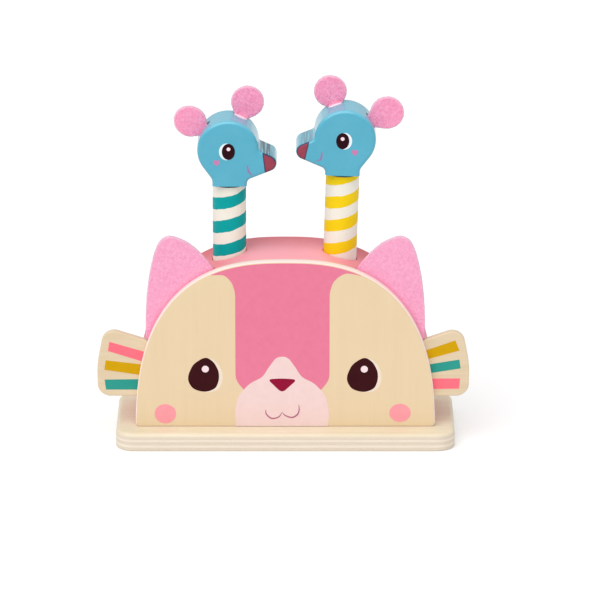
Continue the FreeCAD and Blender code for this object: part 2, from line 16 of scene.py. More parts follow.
import bpy
import numpy as np
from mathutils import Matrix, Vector


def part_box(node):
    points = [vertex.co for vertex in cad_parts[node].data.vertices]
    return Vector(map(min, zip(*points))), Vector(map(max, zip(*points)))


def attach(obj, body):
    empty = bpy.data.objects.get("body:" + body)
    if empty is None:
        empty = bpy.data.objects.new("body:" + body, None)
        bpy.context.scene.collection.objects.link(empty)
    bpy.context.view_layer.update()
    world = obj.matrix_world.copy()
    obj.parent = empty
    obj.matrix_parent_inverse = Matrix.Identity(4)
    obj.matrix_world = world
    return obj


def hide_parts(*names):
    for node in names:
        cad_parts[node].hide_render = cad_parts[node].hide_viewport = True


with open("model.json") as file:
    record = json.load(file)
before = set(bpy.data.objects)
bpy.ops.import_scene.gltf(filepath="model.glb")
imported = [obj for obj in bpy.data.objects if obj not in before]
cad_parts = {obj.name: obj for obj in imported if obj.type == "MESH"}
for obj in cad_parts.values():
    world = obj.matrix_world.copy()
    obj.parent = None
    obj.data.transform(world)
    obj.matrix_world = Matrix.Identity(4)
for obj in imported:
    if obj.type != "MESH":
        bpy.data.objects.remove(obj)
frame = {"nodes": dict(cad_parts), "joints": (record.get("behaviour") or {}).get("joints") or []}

Array = np.ndarray
Colour = tuple[float, float, float]
Place = tuple[float, float]
Places = tuple[Place, ...]
Cells = tuple[float, float, float]
Socket = bpy.types.NodeSocket
Material = bpy.types.Material

MM = 0.001
SIDES = ("left", "right")
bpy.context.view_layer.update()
LOG = logging.getLogger("toy")
FULL_COLOUR = 255
WHITE: Colour = (255, 255, 255)
BLACK: Colour = (0, 0, 0)
LATTICE_VALUES = 4093
LATTICE_STRIDES = (73856093, 19349663, 83492791)
WELD_DISTANCE = 1e-4
POINT_SPREAD = 1e-6
TAPER_END = 0.02


# ---- Small helpers ------------------------------------------------------------------------------
def limits(node: str) -> tuple[Array, Array]:
    """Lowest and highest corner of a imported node, in millimetres.

    Args:
        node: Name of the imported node.

    Returns:
        The two corners as arrays.
    """
    low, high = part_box(node)
    return np.array(low) / MM, np.array(high) / MM


def linear(colour: Colour) -> tuple[float, float, float, float]:
    """Turn a display colour, 0 to 255, into the linear values that shaders take.

    Args:
        colour: Red, green and blue as a screen shows them.

    Returns:
        Red, green, blue and an alpha of 1: below 0.04045 a value is divided by 12.92, and above
        it the power 2.4 is taken of (value + 0.055) / 1.055.
    """
    share = np.array(colour) / FULL_COLOUR
    curved = np.where(share <= 0.04045, share / 12.92, ((share + 0.055) / 1.055) ** 2.4)
    return (*(float(v) for v in curved), 1.0)


def lattice_noise(points: Array, cell: float, seed: int) -> Array:
    """Smooth noise from -1 to 1 at each point.

    Random values stand on a cubic lattice, and a point takes the eight values round it, each
    weighted by the smooth step s * s * (3 - 2 * s) of its share of the cell along each axis.

    Args:
        points: Array of (..., 3) places.
        cell: Side of a lattice cell.
        seed: Seed of the lattice's values.

    Returns:
        One value for each point.
    """
    values = np.random.default_rng(seed).uniform(-1, 1, LATTICE_VALUES)
    scaled = points / cell
    corner = np.floor(scaled).astype(np.int64)
    share = scaled - corner
    share = share * share * (3 - 2 * share)
    total = np.zeros(points.shape[:-1])
    for step in itertools.product((0, 1), repeat=3):
        place = corner + np.array(step)
        key = (place * np.array(LATTICE_STRIDES)).sum(axis=-1) % LATTICE_VALUES
        weight = np.where(np.array(step) == 1, share, 1 - share).prod(axis=-1)
        total = total + values[key] * weight
    return total


def smooth_curve(corners: list[Place], per_span: int = 12, closed: bool = False) -> Array:
    """Curve through a few points, as a Catmull-Rom spline.

    Between two points p1 and p2, with neighbours p0 and p3, the place at share t is half of
    2 p1 + (p2 - p0) t + (2 p0 - 5 p1 + 4 p2 - p3) t^2 + (3 p1 - p0 - 3 p2 + p3) t^3.

    Args:
        corners: The points, in order.
        per_span: How many places each span gives.
        closed: Whether the curve returns to its first point.

    Returns:
        Array of (n, 2) places; an open curve ends at its last point.
    """
    points = np.array(corners, float)
    if closed:
        padded = np.vstack([points[-1:], points, points[:2]])
    else:
        padded = np.vstack([2 * points[:1] - points[1:2], points, 2 * points[-1:] - points[-2:-1]])
    p0, p1, p2, p3 = (padded[k : len(padded) - 3 + k, None, :] for k in range(4))
    t = (np.arange(per_span) / per_span)[None, :, None]
    curve = 0.5 * (
        2 * p1 + (p2 - p0) * t + (2 * p0 - 5 * p1 + 4 * p2 - p3) * t**2 + (3 * p1 - p0 - 3 * p2 + p3) * t**3
    )
    curve = curve.reshape(-1, 2)
    return curve if closed else np.vstack([curve, points[-1:]])


def ellipse(centre: Place, radii: tuple[float, float], count: int = 72) -> Array:
    """Closed ellipse: the centre plus the radii times cosine and sine of an even sweep."""
    angle = np.linspace(0, 2 * math.pi, count, endpoint=False)
    return np.array(centre) + np.stack([radii[0] * np.cos(angle), radii[1] * np.sin(angle)], axis=-1)


def outward(outline: Array) -> Array:
    """Unit normals of a closed outline that runs anticlockwise.

    Args:
        outline: Array of (n, 2) places.

    Returns:
        Array of (n, 2): the step from the point before to the point after, turned clockwise.
    """
    along = np.roll(outline, -1, axis=0) - np.roll(outline, 1, axis=0)
    normal = np.stack([along[:, 1], -along[:, 0]], axis=-1)
    return normal / np.linalg.norm(normal, axis=1, keepdims=True)


def taper(count: int) -> Array:
    """Share of a painted line's width along its length: the square root of sine over it."""
    return np.sqrt(np.sin(np.linspace(TAPER_END, math.pi - TAPER_END, count)))


def upright(flat: Array, depth: float | Array) -> Array:
    """Put (x, z) places at a depth y: (x, z) and y become (x, y, z)."""
    return np.stack([flat[..., 0], np.broadcast_to(depth, flat.shape[:-1]), flat[..., 1]], axis=-1)


# ---- Meshes -------------------------------------------------------------------------------------
@dataclass
class Shape:
    """Points and faces of one piece, gathered from patches, in millimetres."""

    points: list[Array] = field(default_factory=list)
    faces: list[Array] = field(default_factory=list)
    tones: list[Array] = field(default_factory=list)
    count: int = 0

    def patch(
        self, grid: Array, wrap_u: bool = False, wrap_v: bool = False, tone: float | Array = 0.5,
    ) -> None:
        """Add a surface given as a grid of two parameters.

        Args:
            grid: Array of (u, v, 3) places; u cross v points outwards.
            wrap_u: Whether the last row joins the first.
            wrap_v: Whether the last column joins the first.
            tone: Shade of the points, 0 to 1, which a material may read.
        """
        rows, columns = grid.shape[:2]
        index = np.arange(rows * columns).reshape(rows, columns) + self.count
        if wrap_u:
            index = np.vstack([index, index[:1]])
        if wrap_v:
            index = np.hstack([index, index[:, :1]])
        corners = (index[:-1, :-1], index[1:, :-1], index[1:, 1:], index[:-1, 1:])
        self.points.append(grid.reshape(-1, 3))
        self.tones.append(np.broadcast_to(tone, grid.shape[:2]).reshape(-1))
        self.faces.append(np.stack([c.ravel() for c in corners], axis=-1))
        self.count += rows * columns

    def sheet(self, grid: Array, wall: float, wrap_v: bool = False) -> None:
        """Add a thin closed sheet: the grid, its copy set back along its normals, and its rims.

        Args:
            grid: Array of (u, v, 3) places of the face; u cross v points outwards.
            wall: Thickness of the sheet.
            wrap_v: Whether the last column joins the first.
        """
        back = grid - grid_normals(grid, wrap_v=wrap_v) * wall
        self.patch(grid, wrap_v=wrap_v)
        self.patch(back[::-1], wrap_v=wrap_v)
        self.patch(np.stack([back[0], grid[0]]), wrap_v=wrap_v)
        self.patch(np.stack([grid[-1], back[-1]]), wrap_v=wrap_v)
        if not wrap_v:
            self.patch(np.stack([back[:, 0], grid[:, 0]], axis=1))
            self.patch(np.stack([grid[:, -1], back[:, -1]], axis=1))

    def make(self, name: str, crease: float) -> bpy.types.Object:
        """Weld the patches into one smooth mesh and put it in the scene.

        Points that share a place become one, a quad with two equal corners becomes a triangle,
        and a face with fewer than three different corners is dropped.

        Args:
            name: Name of the piece.
            crease: Angle in degrees past which an edge stays sharp.

        Returns:
            The new object, at the origin.
        """
        points = np.concatenate(self.points)
        faces = np.concatenate(self.faces)
        tones = np.concatenate(self.tones)
        keys = np.round(points / WELD_DISTANCE).astype(np.int64)
        _, first, inverse = np.unique(keys, axis=0, return_index=True, return_inverse=True)
        faces = inverse.reshape(-1)[faces]
        points, tones = points[first], tones[first]
        keep = faces != np.roll(faces, 1, axis=1)
        sizes = keep.sum(axis=1)
        keep &= (sizes >= 3)[:, None]
        sizes = sizes[sizes >= 3]
        mesh = bpy.data.meshes.new(name)
        mesh.vertices.add(len(points))
        mesh.vertices.foreach_set("co", (points * MM).astype(np.float32).ravel())
        mesh.loops.add(int(sizes.sum()))
        mesh.loops.foreach_set("vertex_index", faces[keep].astype(np.int32))
        mesh.polygons.add(len(sizes))
        mesh.polygons.foreach_set("loop_start", (np.cumsum(sizes) - sizes).astype(np.int32))
        mesh.polygons.foreach_set("use_smooth", np.ones(len(sizes), bool))
        mesh.update(calc_edges=True)
        mesh.validate()
        mesh.set_sharp_from_angle(angle=math.radians(crease))
        shade = mesh.attributes.new("tone", "FLOAT", "POINT")
        shade.data.foreach_set("value", tones.astype(np.float32))
        piece = bpy.data.objects.new(name, mesh)
        bpy.context.scene.collection.objects.link(piece)
        return piece


def grid_cross(grid: Array, wrap_u: bool = False, wrap_v: bool = False) -> Array:
    """Step of a grid along u crossed with its step along v.

    Args:
        grid: Array of (u, v, 3) places.
        wrap_u: Whether the last row joins the first.
        wrap_v: Whether the last column joins the first.

    Returns:
        Array like the grid, of vectors as long as the area there is large.
    """
    steps = [
        np.roll(grid, -1, axis=k) - np.roll(grid, 1, axis=k) if wrap else np.gradient(grid, axis=k)
        for k, wrap in enumerate((wrap_u, wrap_v))
    ]
    return np.cross(*steps)


def grid_normals(grid: Array, wrap_u: bool = False, wrap_v: bool = False) -> Array:
    """Unit normals of a grid: the step along u crossed with the step along v.

    Args:
        grid: Array of (u, v, 3) places.
        wrap_u: Whether the last row joins the first.
        wrap_v: Whether the last column joins the first.

    Returns:
        Array like the grid. A row or column that is a single point, as at a pole, takes the mean
        normal of the one beside it.
    """
    normal = grid_cross(grid, wrap_u, wrap_v)
    for end, beside in ((0, 1), (-1, -2)):
        if np.ptp(grid[end], axis=0).max() < POINT_SPREAD:
            normal[end] = normal[beside].mean(axis=0)
        if np.ptp(grid[:, end], axis=0).max() < POINT_SPREAD:
            normal[:, end] = normal[:, beside].mean(axis=0)
    length = np.linalg.norm(normal, axis=-1, keepdims=True)
    return normal / np.maximum(length, 1e-12)


def ringed(outline: Array, middle: Place, rings: int) -> Array:
    """Flat sheet inside a closed outline, from its middle outwards.

    Ring k lies at middle + s * (outline - middle), with s from 0 at the middle to 1.

    Args:
        outline: Array of (n, 2) places.
        middle: A place that sees the whole outline.
        rings: How many rings lie between the middle and the outline.

    Returns:
        Array of (n, rings + 1, 2) places.
    """
    share = np.linspace(0, 1, rings + 1)[None, :, None]
    centre = np.array(middle, float)
    return centre + share * (outline[:, None, :] - centre)


# ---- Materials ----------------------------------------------------------------------------------
class Graph:
    """Node graph of one material, built in short steps around one shader."""

    def __init__(self, name: str) -> None:
        """Start an empty material with a principled shader.

        Args:
            name: Name of the material.
        """
        self.material = bpy.data.materials.new(name)
        self.material.use_nodes = True
        self.tree = self.material.node_tree
        self.tree.nodes.clear()
        output = self.tree.nodes.new("ShaderNodeOutputMaterial")
        self.shader = self.tree.nodes.new("ShaderNodeBsdfPrincipled")
        self.tree.links.new(self.shader.outputs[0], output.inputs["Surface"])
        places = self.tree.nodes.new("ShaderNodeTexCoord")
        self.object_place, self.object_normal = places.outputs["Object"], places.outputs["Normal"]

    def link(self, source: Socket, target: Socket) -> None:
        """Join two sockets."""
        self.tree.links.new(source, target)

    def set(self, **values: float) -> None:
        """Set plain values on the shader's own sockets, with _ for a space in their names."""
        for key, value in values.items():
            self.shader.inputs[key.replace("_", " ")].default_value = value

    def noise(
        self, scale: Cells | float, detail: float = 3.0, rough: float = 0.5, twist: float = 0.0,
    ) -> Socket:
        """Fractal noise on Object places.

        Args:
            scale: Cells a metre along X, Y and Z, or one number for all three.
            detail: How many octaves.
            rough: Share that each octave keeps of the one before.
            twist: Distortion of the pattern.

        Returns:
            The noise's value socket, 0 to 1.
        """
        mapping = self.tree.nodes.new("ShaderNodeMapping")
        mapping.inputs["Scale"].default_value = scale if isinstance(scale, tuple) else (scale,) * 3
        self.link(self.object_place, mapping.inputs["Vector"])
        node = self.tree.nodes.new("ShaderNodeTexNoise")
        node.inputs["Scale"].default_value = 1.0
        node.inputs["Detail"].default_value = detail
        node.inputs["Roughness"].default_value = rough
        node.inputs["Distortion"].default_value = twist
        self.link(mapping.outputs[0], node.inputs["Vector"])
        return node.outputs["Fac"]

    def level(
        self, value: Socket, low: float = 0.3, high: float = 0.7, to_low: float = 0.0,
        to_high: float = 1.0,
    ) -> Socket:
        """Spread a value from one range to another and clamp it.

        Args:
            value: The value.
            low: Where its range starts.
            high: Where its range ends.
            to_low: What it becomes at the start.
            to_high: What it becomes at the end.

        Returns:
            The value socket.
        """
        node = self.tree.nodes.new("ShaderNodeMapRange")
        node.inputs["From Min"].default_value = low
        node.inputs["From Max"].default_value = high
        node.inputs["To Min"].default_value = to_low
        node.inputs["To Max"].default_value = to_high
        self.link(value, node.inputs["Value"])
        return node.outputs[0]

    def math(self, kind: str, first: Socket, second: Socket | float = 0.0) -> Socket:
        """Work out one value from two, or from the first alone.

        Args:
            kind: What to do, such as ADD, MULTIPLY or ABSOLUTE.
            first: First value.
            second: Second value, where the kind takes one.

        Returns:
            The value socket.
        """
        node = self.tree.nodes.new("ShaderNodeMath")
        node.operation = kind
        self.link(first, node.inputs[0])
        if isinstance(second, (int, float)):
            node.inputs[1].default_value = second
        else:
            self.link(second, node.inputs[1])
        return node.outputs[0]

    def weighted(self, *parts: tuple[Socket, float]) -> Socket:
        """Add several values up, each times its weight.

        Args:
            parts: Each value and its weight.

        Returns:
            The value socket.
        """
        total, *others = (self.math("MULTIPLY", value, weight) for value, weight in parts)
        for other in others:
            total = self.math("ADD", total, other)
        return total

    def mix(
        self, share: Socket | float, first: Socket | Colour, second: Socket | Colour, kind: str = "MIX",
    ) -> Socket:
        """Mix two colours.

        Args:
            share: How much of the second there is.
            first: Colour or socket at share 0.
            second: Colour or socket at share 1.
            kind: How they blend.

        Returns:
            The colour socket.
        """
        node = self.tree.nodes.new("ShaderNodeMix")
        node.data_type = "RGBA"
        node.blend_type = kind
        sockets = {s.identifier: s for s in node.inputs}
        if isinstance(share, (int, float)):
            sockets["Factor_Float"].default_value = share
        else:
            self.link(share, sockets["Factor_Float"])
        for key, value in (("A_Color", first), ("B_Color", second)):
            if isinstance(value, tuple):
                sockets[key].default_value = linear(value)
            else:
                self.link(value, sockets[key])
        return next(s for s in node.outputs if s.identifier == "Result_Color")

    def ramp(
        self, value: Socket, stops: list[tuple[float, Colour]], sharp: bool = False,
    ) -> Socket:
        """Colour ramp.

        Args:
            value: What runs along it.
            stops: Place and colour of each stop.
            sharp: Whether colours hold until the next stop.

        Returns:
            The colour socket.
        """
        node = self.tree.nodes.new("ShaderNodeValToRGB")
        node.color_ramp.interpolation = "CONSTANT" if sharp else "LINEAR"
        elements = node.color_ramp.elements
        while len(elements) < len(stops):
            elements.new(0.5)
        for element, (place, colour) in zip(elements, stops):
            element.position = place
            element.color = linear(colour)
        self.link(value, node.inputs["Fac"])
        return node.outputs["Color"]

    def axis(self, name: str) -> Socket:
        """One coordinate of the Object place, in metres."""
        node = self.tree.nodes.new("ShaderNodeSeparateXYZ")
        self.link(self.object_place, node.inputs[0])
        return node.outputs[name]

    def facing(self, name: str) -> Socket:
        """One coordinate of the surface's own normal, -1 to 1."""
        node = self.tree.nodes.new("ShaderNodeSeparateXYZ")
        self.link(self.object_normal, node.inputs[0])
        return node.outputs[name]

    def tone(self) -> Socket:
        """The piece's own shade attribute."""
        node = self.tree.nodes.new("ShaderNodeAttribute")
        node.attribute_name = "tone"
        return node.outputs["Fac"]

    def bump(self, height: Socket, depth: float, strength: float = 1.0) -> None:
        """Add relief to the surface.

        Args:
            height: Value socket, 0 to 1.
            depth: Height of the relief in millimetres.
            strength: Share of it that shows.
        """
        node = self.tree.nodes.new("ShaderNodeBump")
        node.inputs["Distance"].default_value = depth * MM
        node.inputs["Strength"].default_value = strength
        self.link(height, node.inputs["Height"])
        before = self.shader.inputs["Normal"]
        if before.is_linked:
            self.link(before.links[0].from_socket, node.inputs["Normal"])
        self.link(node.outputs[0], before)

    def colour(self, socket: Socket) -> None:
        """Feed the shader's base colour."""
        self.link(socket, self.shader.inputs["Base Color"])

    def roughness(self, socket: Socket) -> None:
        """Feed the shader's roughness."""
        self.link(socket, self.shader.inputs["Roughness"])


class Grain(Enum):
    """Which way wood fibres run: cells a metre along X, Y and Z for a fine fibre."""

    ALONG_X = (45.0, 1500.0, 1500.0)
    ALONG_Z = (1500.0, 1500.0, 45.0)


# Cells a metre of the textures that several finishes share.
SHEEN_CELLS = 220.0
PATCH_CELLS = 70.0
ROLLER_CELLS = 1300.0


@dataclass(frozen=True)
class WoodFinish:
    """Clear-coated pale wood: long fibres, faint growth lines and small pores.

    The growth lines, patches and pores are sized from the grain's fine fibre. A higher soft brings
    the two tones together more gently.
    """

    name: str
    pale: Colour
    dark: Colour
    grain: Grain = Grain.ALONG_X
    soft: float = 0.5
    roughness: float = 0.46
    coat: float = 0.12
    growth_size: float = 0.16
    patch_cells: float = 40.0
    pore_size: float = 0.6
    pore_share: float = 0.04
    pore_colour: Colour = (150, 110, 70)
    relief: float = 0.03

    def surface(self, graph: Graph) -> Socket:
        """Colour of the wood's face, and its relief.

        Args:
            graph: The material being built.

        Returns:
            The colour socket: fibres, growth lines and broad patches mixed between two tones.
        """
        fine = self.grain.value
        fibre = graph.noise(fine, detail=4.0, rough=0.65)
        growth = graph.noise(tuple(v * self.growth_size for v in fine), detail=3.0, rough=0.45, twist=0.6)
        patch = graph.noise(tuple(min(v, self.patch_cells) for v in fine), detail=2.0)
        mixed = graph.weighted((fibre, 0.34), (growth, 0.42), (patch, 0.24))
        half = 0.5 - 0.32 * self.soft
        share = graph.level(mixed, half, 1 - half)
        colour = graph.mix(share, self.pale, self.dark)
        pore = graph.level(graph.noise(tuple(v * self.pore_size for v in fine), detail=1.0), 0.68, 0.78)
        colour = graph.mix(graph.math("MULTIPLY", pore, self.pore_share), colour, self.pore_colour)
        graph.bump(fibre, self.relief, 0.5)
        return colour

    def dress(self, graph: Graph) -> None:
        """Finish the shader with the wood's gloss."""
        sheen = graph.noise(SHEEN_CELLS, detail=2.0)
        graph.roughness(graph.level(sheen, 0.2, 0.8, self.roughness - 0.04, self.roughness + 0.05))
        graph.set(Coat_Weight=self.coat, Coat_Roughness=0.25, Specular_IOR_Level=0.4)

    def material(self) -> Material:
        """Build the material from its surface and its gloss.

        Returns:
            The material.
        """
        graph = Graph(self.name)
        graph.colour(self.surface(graph))
        self.dress(graph)
        return graph.material


@dataclass(frozen=True)
class PlyFinish:
    """Plywood: a face veneer, and glued layers that show in turn at the edge."""

    face: WoodFinish
    axis: str
    low: float
    high: float
    layers: tuple[float, ...]
    edge_pale: Colour
    edge_dark: Colour
    glue: float = 0.35
    glue_colour: Colour = (176, 140, 100)
    glue_width: float = 0.1
    relief: float = 0.05
    speckle_cells: float = 2200.0
    streak_length: float = 110.0
    streak_width: float = 2600.0

    def material(self) -> Material:
        """Build the material.

        Layers are told apart by the place along the board's thickness: the first and last are
        veneer, and between them end grain and long grain take turns, with a thin glue line.

        Returns:
            The material.
        """
        graph = Graph(self.face.name)
        veneer = self.face.surface(graph)
        place = graph.level(graph.axis(self.axis), self.low * MM, self.high * MM)
        thickness = self.high - self.low
        edges = [0.0, *((v - self.low) / thickness for v in self.layers), 1.0]
        turns = [(e, BLACK if k % 2 else WHITE) for k, e in enumerate(edges[:-1])]
        odd = graph.ramp(place, turns, sharp=True)
        inside = graph.ramp(place, [(0.0, BLACK), (edges[1], WHITE), (edges[-2], BLACK)], sharp=True)
        glue_half = self.glue_width / 2 / thickness
        stops = [(0.0, BLACK)]
        for e in edges[1:-1]:
            stops += [(e - glue_half, WHITE), (e + glue_half, BLACK)]
        glue = graph.ramp(place, stops, sharp=True)
        speckle = graph.noise(self.speckle_cells, detail=2.0, rough=0.6)
        streaks = [self.streak_width if name == self.axis else self.streak_length for name in "XYZ"]
        streak = graph.noise(tuple(streaks), detail=3.0)
        end_grain = graph.mix(graph.level(speckle), self.edge_dark, self.edge_pale)
        end_grain = graph.mix(0.55, end_grain, self.edge_dark)
        long_grain = graph.mix(graph.level(streak), self.edge_pale, self.edge_dark)
        long_grain = graph.mix(0.6, long_grain, self.edge_pale)
        edge = graph.mix(odd, end_grain, long_grain)
        edge = graph.mix(graph.math("MULTIPLY", glue, self.glue), edge, self.glue_colour)
        graph.colour(graph.mix(inside, veneer, edge))
        graph.bump(glue, -self.relief, 0.8)
        self.face.dress(graph)
        return graph.material


@dataclass(frozen=True)
class PaintFinish:
    """Satin paint on wood: a faint roller texture, a little unevenness, the grain showing through, and
    painted shade where given.
    """

    name: str
    colour: Colour
    shade: Colour
    roughness: float = 0.42
    gloss: float = 0.25
    grain: Grain = Grain.ALONG_X
    back_painted_shade: Colour | None = None
    back_from: float = 0.0
    back_to: float = 1.0
    side_painted_shade: Colour | None = None
    side_from: float = 0.0
    side_to: float = 1.0

    def material(self) -> Material:
        """Build the material, with painted shade that deepens along Y and away from the middle where given.

        Returns:
            The material.
        """
        graph = Graph(self.name)
        patch = graph.noise(PATCH_CELLS, detail=3.0, rough=0.6)
        fibre = graph.noise(self.grain.value, detail=3.0, rough=0.6)
        mixed = graph.weighted((patch, 0.65), (fibre, 0.35))
        colour = graph.mix(graph.level(mixed), self.colour, self.shade)
        if self.back_painted_shade is not None:
            # Painted shade: the colour darkens towards the back between back_from and back_to.
            depth = graph.level(graph.axis("Y"), self.back_from * MM, self.back_to * MM)
            colour = graph.mix(depth, colour, self.back_painted_shade, kind="MULTIPLY")
        if self.side_painted_shade is not None:
            # Painted shade: the colour darkens away from the middle between side_from and side_to.
            away = graph.math("ABSOLUTE", graph.axis("X"))
            away = graph.level(away, self.side_from * MM, self.side_to * MM)
            colour = graph.mix(away, colour, self.side_painted_shade, kind="MULTIPLY")
        graph.colour(colour)
        roller = graph.noise(ROLLER_CELLS, detail=2.0)
        graph.bump(roller, 0.02, 0.5)
        graph.bump(fibre, 0.02, 0.4)
        graph.roughness(graph.level(patch, 0.25, 0.75, self.roughness - 0.05, self.roughness + 0.07))
        graph.set(Specular_IOR_Level=self.gloss)
        return graph.material


@dataclass(frozen=True)
class HeadFinish:
    """Glossy blue paint with a painted highlight on top, and dark saw marks across the snout's bridge."""

    name: str
    bridge: float
    reach: float
    marks: float
    colour: Colour = (68, 168, 194)
    shade: Colour = (75, 173, 199)
    mark: Colour = (14, 78, 96)
    painted_highlight: Colour = (132, 208, 230)
    painted_highlight_share: float = 0.42
    mark_cells: Cells = (900.0, 25.0, 25.0)
    fade_from: float = 0.4
    roughness: float = 0.4
    gloss: float = 0.3
    coat: float = 0.9

    def material(self) -> Material:
        """Build the material.

        A painted highlight makes the paint paler where it faces up. The marks are stripes along Y, drawn
        where the surface faces up and lies within the reach of the bridge's middle, and they fade towards
        its ends.

        Returns:
            The material.
        """
        graph = Graph(self.name)
        patch = graph.noise(PATCH_CELLS, detail=3.0, rough=0.6)
        roller = graph.noise(ROLLER_CELLS, detail=2.0)
        colour = graph.mix(graph.level(patch), self.colour, self.shade)
        # Painted highlight: paler blue where the surface faces up.
        colour = graph.mix(graph.level(graph.facing("Z"), 0.2, 0.75, 0.0, self.painted_highlight_share), colour, self.painted_highlight)
        stripe = graph.level(graph.noise(self.mark_cells, detail=1.0), 0.4, 0.5)
        away = graph.math("ABSOLUTE", graph.math("SUBTRACT", graph.axis("X"), self.bridge * MM))
        near = graph.level(away, self.reach * MM, self.fade_from * self.reach * MM)
        faces_up = graph.level(graph.facing("Z"), 0.55, 0.75)
        share = graph.math("MULTIPLY", graph.math("MULTIPLY", stripe, near), faces_up)
        colour = graph.mix(graph.math("MULTIPLY", share, self.marks), colour, self.mark)
        graph.colour(colour)
        graph.bump(roller, 0.02, 0.4)
        graph.bump(stripe, 0.02, 0.3)
        graph.roughness(graph.level(patch, 0.25, 0.75, self.roughness - 0.04, self.roughness + 0.05))
        graph.set(Specular_IOR_Level=self.gloss, Coat_Weight=self.coat, Coat_Roughness=0.16)
        return graph.material


@dataclass(frozen=True)
class PrintFinish:
    """Thin printed ink: nearly flat, with the faintest mottling."""

    name: str
    colour: Colour
    shade: Colour
    roughness: float = 0.42
    gloss: float = 0.3
    mottle_cells: float = 240.0
    speck_cells: float = 1900.0

    def material(self) -> Material:
        """Build the material: mottling and fine specks between the two tones.

        Returns:
            The material.
        """
        graph = Graph(self.name)
        mottle = graph.noise(self.mottle_cells, detail=4.0, rough=0.6)
        speck = graph.noise(self.speck_cells, detail=1.0)
        mixed = graph.weighted((mottle, 0.7), (speck, 0.3))
        graph.colour(graph.mix(graph.level(mixed, 0.32, 0.68), self.colour, self.shade))
        graph.bump(speck, 0.01, 0.4)
        graph.roughness(graph.level(mottle, 0.3, 0.7, self.roughness - 0.04, self.roughness + 0.05))
        graph.set(Specular_IOR_Level=self.gloss)
        return graph.material


@dataclass(frozen=True)
class FeltFinish:
    """Pressed felt: matted fibres in clumps of light and deep pink, dull with a soft sheen.

    The cut rim, where the piece's tone rises past 1, is paler and greyer than the face. Where the
    tone falls below 0, beside the body, a painted shade makes the felt deeper.
    """

    name: str
    light: Colour
    middle: Colour
    deep: Colour
    rim: Colour = (230, 190, 208)
    clump_cells: float = 620.0
    fibre_cells: float = 2600.0
    strand_share: float = 0.35
    rim_share: float = 0.65
    painted_fold_shade_share: float = 0.75

    def material(self) -> Material:
        """Build the material: clumps and fibres through three tones, and each strand's own shade.

        Returns:
            The material.
        """
        graph = Graph(self.name)
        clump = graph.noise(self.clump_cells, detail=4.0, rough=0.7, twist=1.2)
        fibre = graph.noise(self.fibre_cells, detail=3.0, rough=0.7, twist=2.5)
        mixed = graph.weighted((clump, 0.6), (fibre, 0.4))
        colour = graph.ramp(mixed, [(0.42, self.deep), (0.5, self.middle), (0.58, self.light)])
        tone = graph.tone()
        deeper, lighter = (graph.mix(self.strand_share, colour, shade) for shade in (self.deep, self.light))
        inside = graph.mix(graph.level(tone, 0.0, 1.0), deeper, lighter)
        edge = graph.math("MULTIPLY", graph.level(tone, 1.0, 2.0), self.rim_share)
        # Painted shade beside the body: deeper pink where the tone falls below 0.
        painted_fold_shade = graph.math("MULTIPLY", graph.level(tone, 0.0, -1.0), self.painted_fold_shade_share)
        colour = graph.mix(painted_fold_shade, graph.mix(edge, inside, self.rim), self.deep)
        graph.colour(colour)
        graph.bump(clump, 0.35, 0.6)
        graph.bump(fibre, 0.12, 0.7)
        graph.set(Roughness=0.95, Specular_IOR_Level=0.15, Sheen_Weight=0.25, Sheen_Roughness=0.6)
        return graph.material


@dataclass(frozen=True)
class SteelFinish:
    """Drawn or plated steel with fine scratches."""

    name: str
    colour: Colour
    roughness: float = 0.32
    scratch_cells: Cells = (900.0, 900.0, 120.0)
    darker: float = 0.85

    def material(self) -> Material:
        """Build the material, darker in its scratches.

        Returns:
            The material.
        """
        graph = Graph(self.name)
        scratch = graph.noise(self.scratch_cells, detail=4.0, rough=0.7)
        shade = tuple(v * self.darker for v in self.colour)
        graph.colour(graph.mix(graph.level(scratch), self.colour, shade))
        graph.roughness(graph.level(scratch, 0.2, 0.8, self.roughness - 0.07, self.roughness + 0.1))
        graph.bump(scratch, 0.01, 0.4)
        graph.set(Metallic=1.0)
        return graph.material


def paint_over(piece: bpy.types.Object, material: Material) -> None:
    """Give a piece one material in place of whatever it had."""
    piece.data.materials.clear()
    piece.data.materials.append(material)


def dress_node(node: str, material: Material) -> None:
    """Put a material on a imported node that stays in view.

    Args:
        node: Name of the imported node.
        material: Its finish.
    """
    piece = frame["nodes"][node]
    for slot in piece.material_slots:
        slot.material = material
    if not piece.material_slots:
        piece.data.materials.append(material)
    LOG.info("node %s: %s", node, material.name)


def add_piece(
    shape: Shape, name: str, body: str, material: Material, crease: float = 40.0,
    stands_for: tuple[str, ...] = (),
) -> bpy.types.Object:
    """Make a piece, dress it and tie it to its body.

    Args:
        shape: Its surface.
        name: Its name.
        body: The body that it rides on.
        material: Its finish.
        crease: Angle in degrees past which its edges stay sharp.
        stands_for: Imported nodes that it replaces.

    Returns:
        The piece.
    """
    piece = shape.make(name, crease)
    paint_over(piece, material)
    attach(piece, body)
    if stands_for:
        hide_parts(*stands_for)
    LOG.info("piece %s on %s: %d faces", name, body, len(piece.data.polygons))
    return piece


# ---- Flat printed and painted areas --------------------------------------------------------------
FILM_WALL = 0.15


def film(outline: Array, middle: Place, depth: float, rings: int = 3) -> Shape:
    """Sheet of ink on a flat front face: rings inside an outline, all at one depth.

    Args:
        outline: Anticlockwise (x, z) places as seen from the front.
        middle: A place that sees the whole outline.
        depth: Y of the sheet's face.
        rings: How many rings fill it.

    Returns:
        The sheet, which faces -Y.
    """
    shape = Shape()
    flat = ringed(outline, middle, rings)
    shape.sheet(upright(flat, depth).transpose(1, 0, 2), FILM_WALL, wrap_v=True)
    return shape


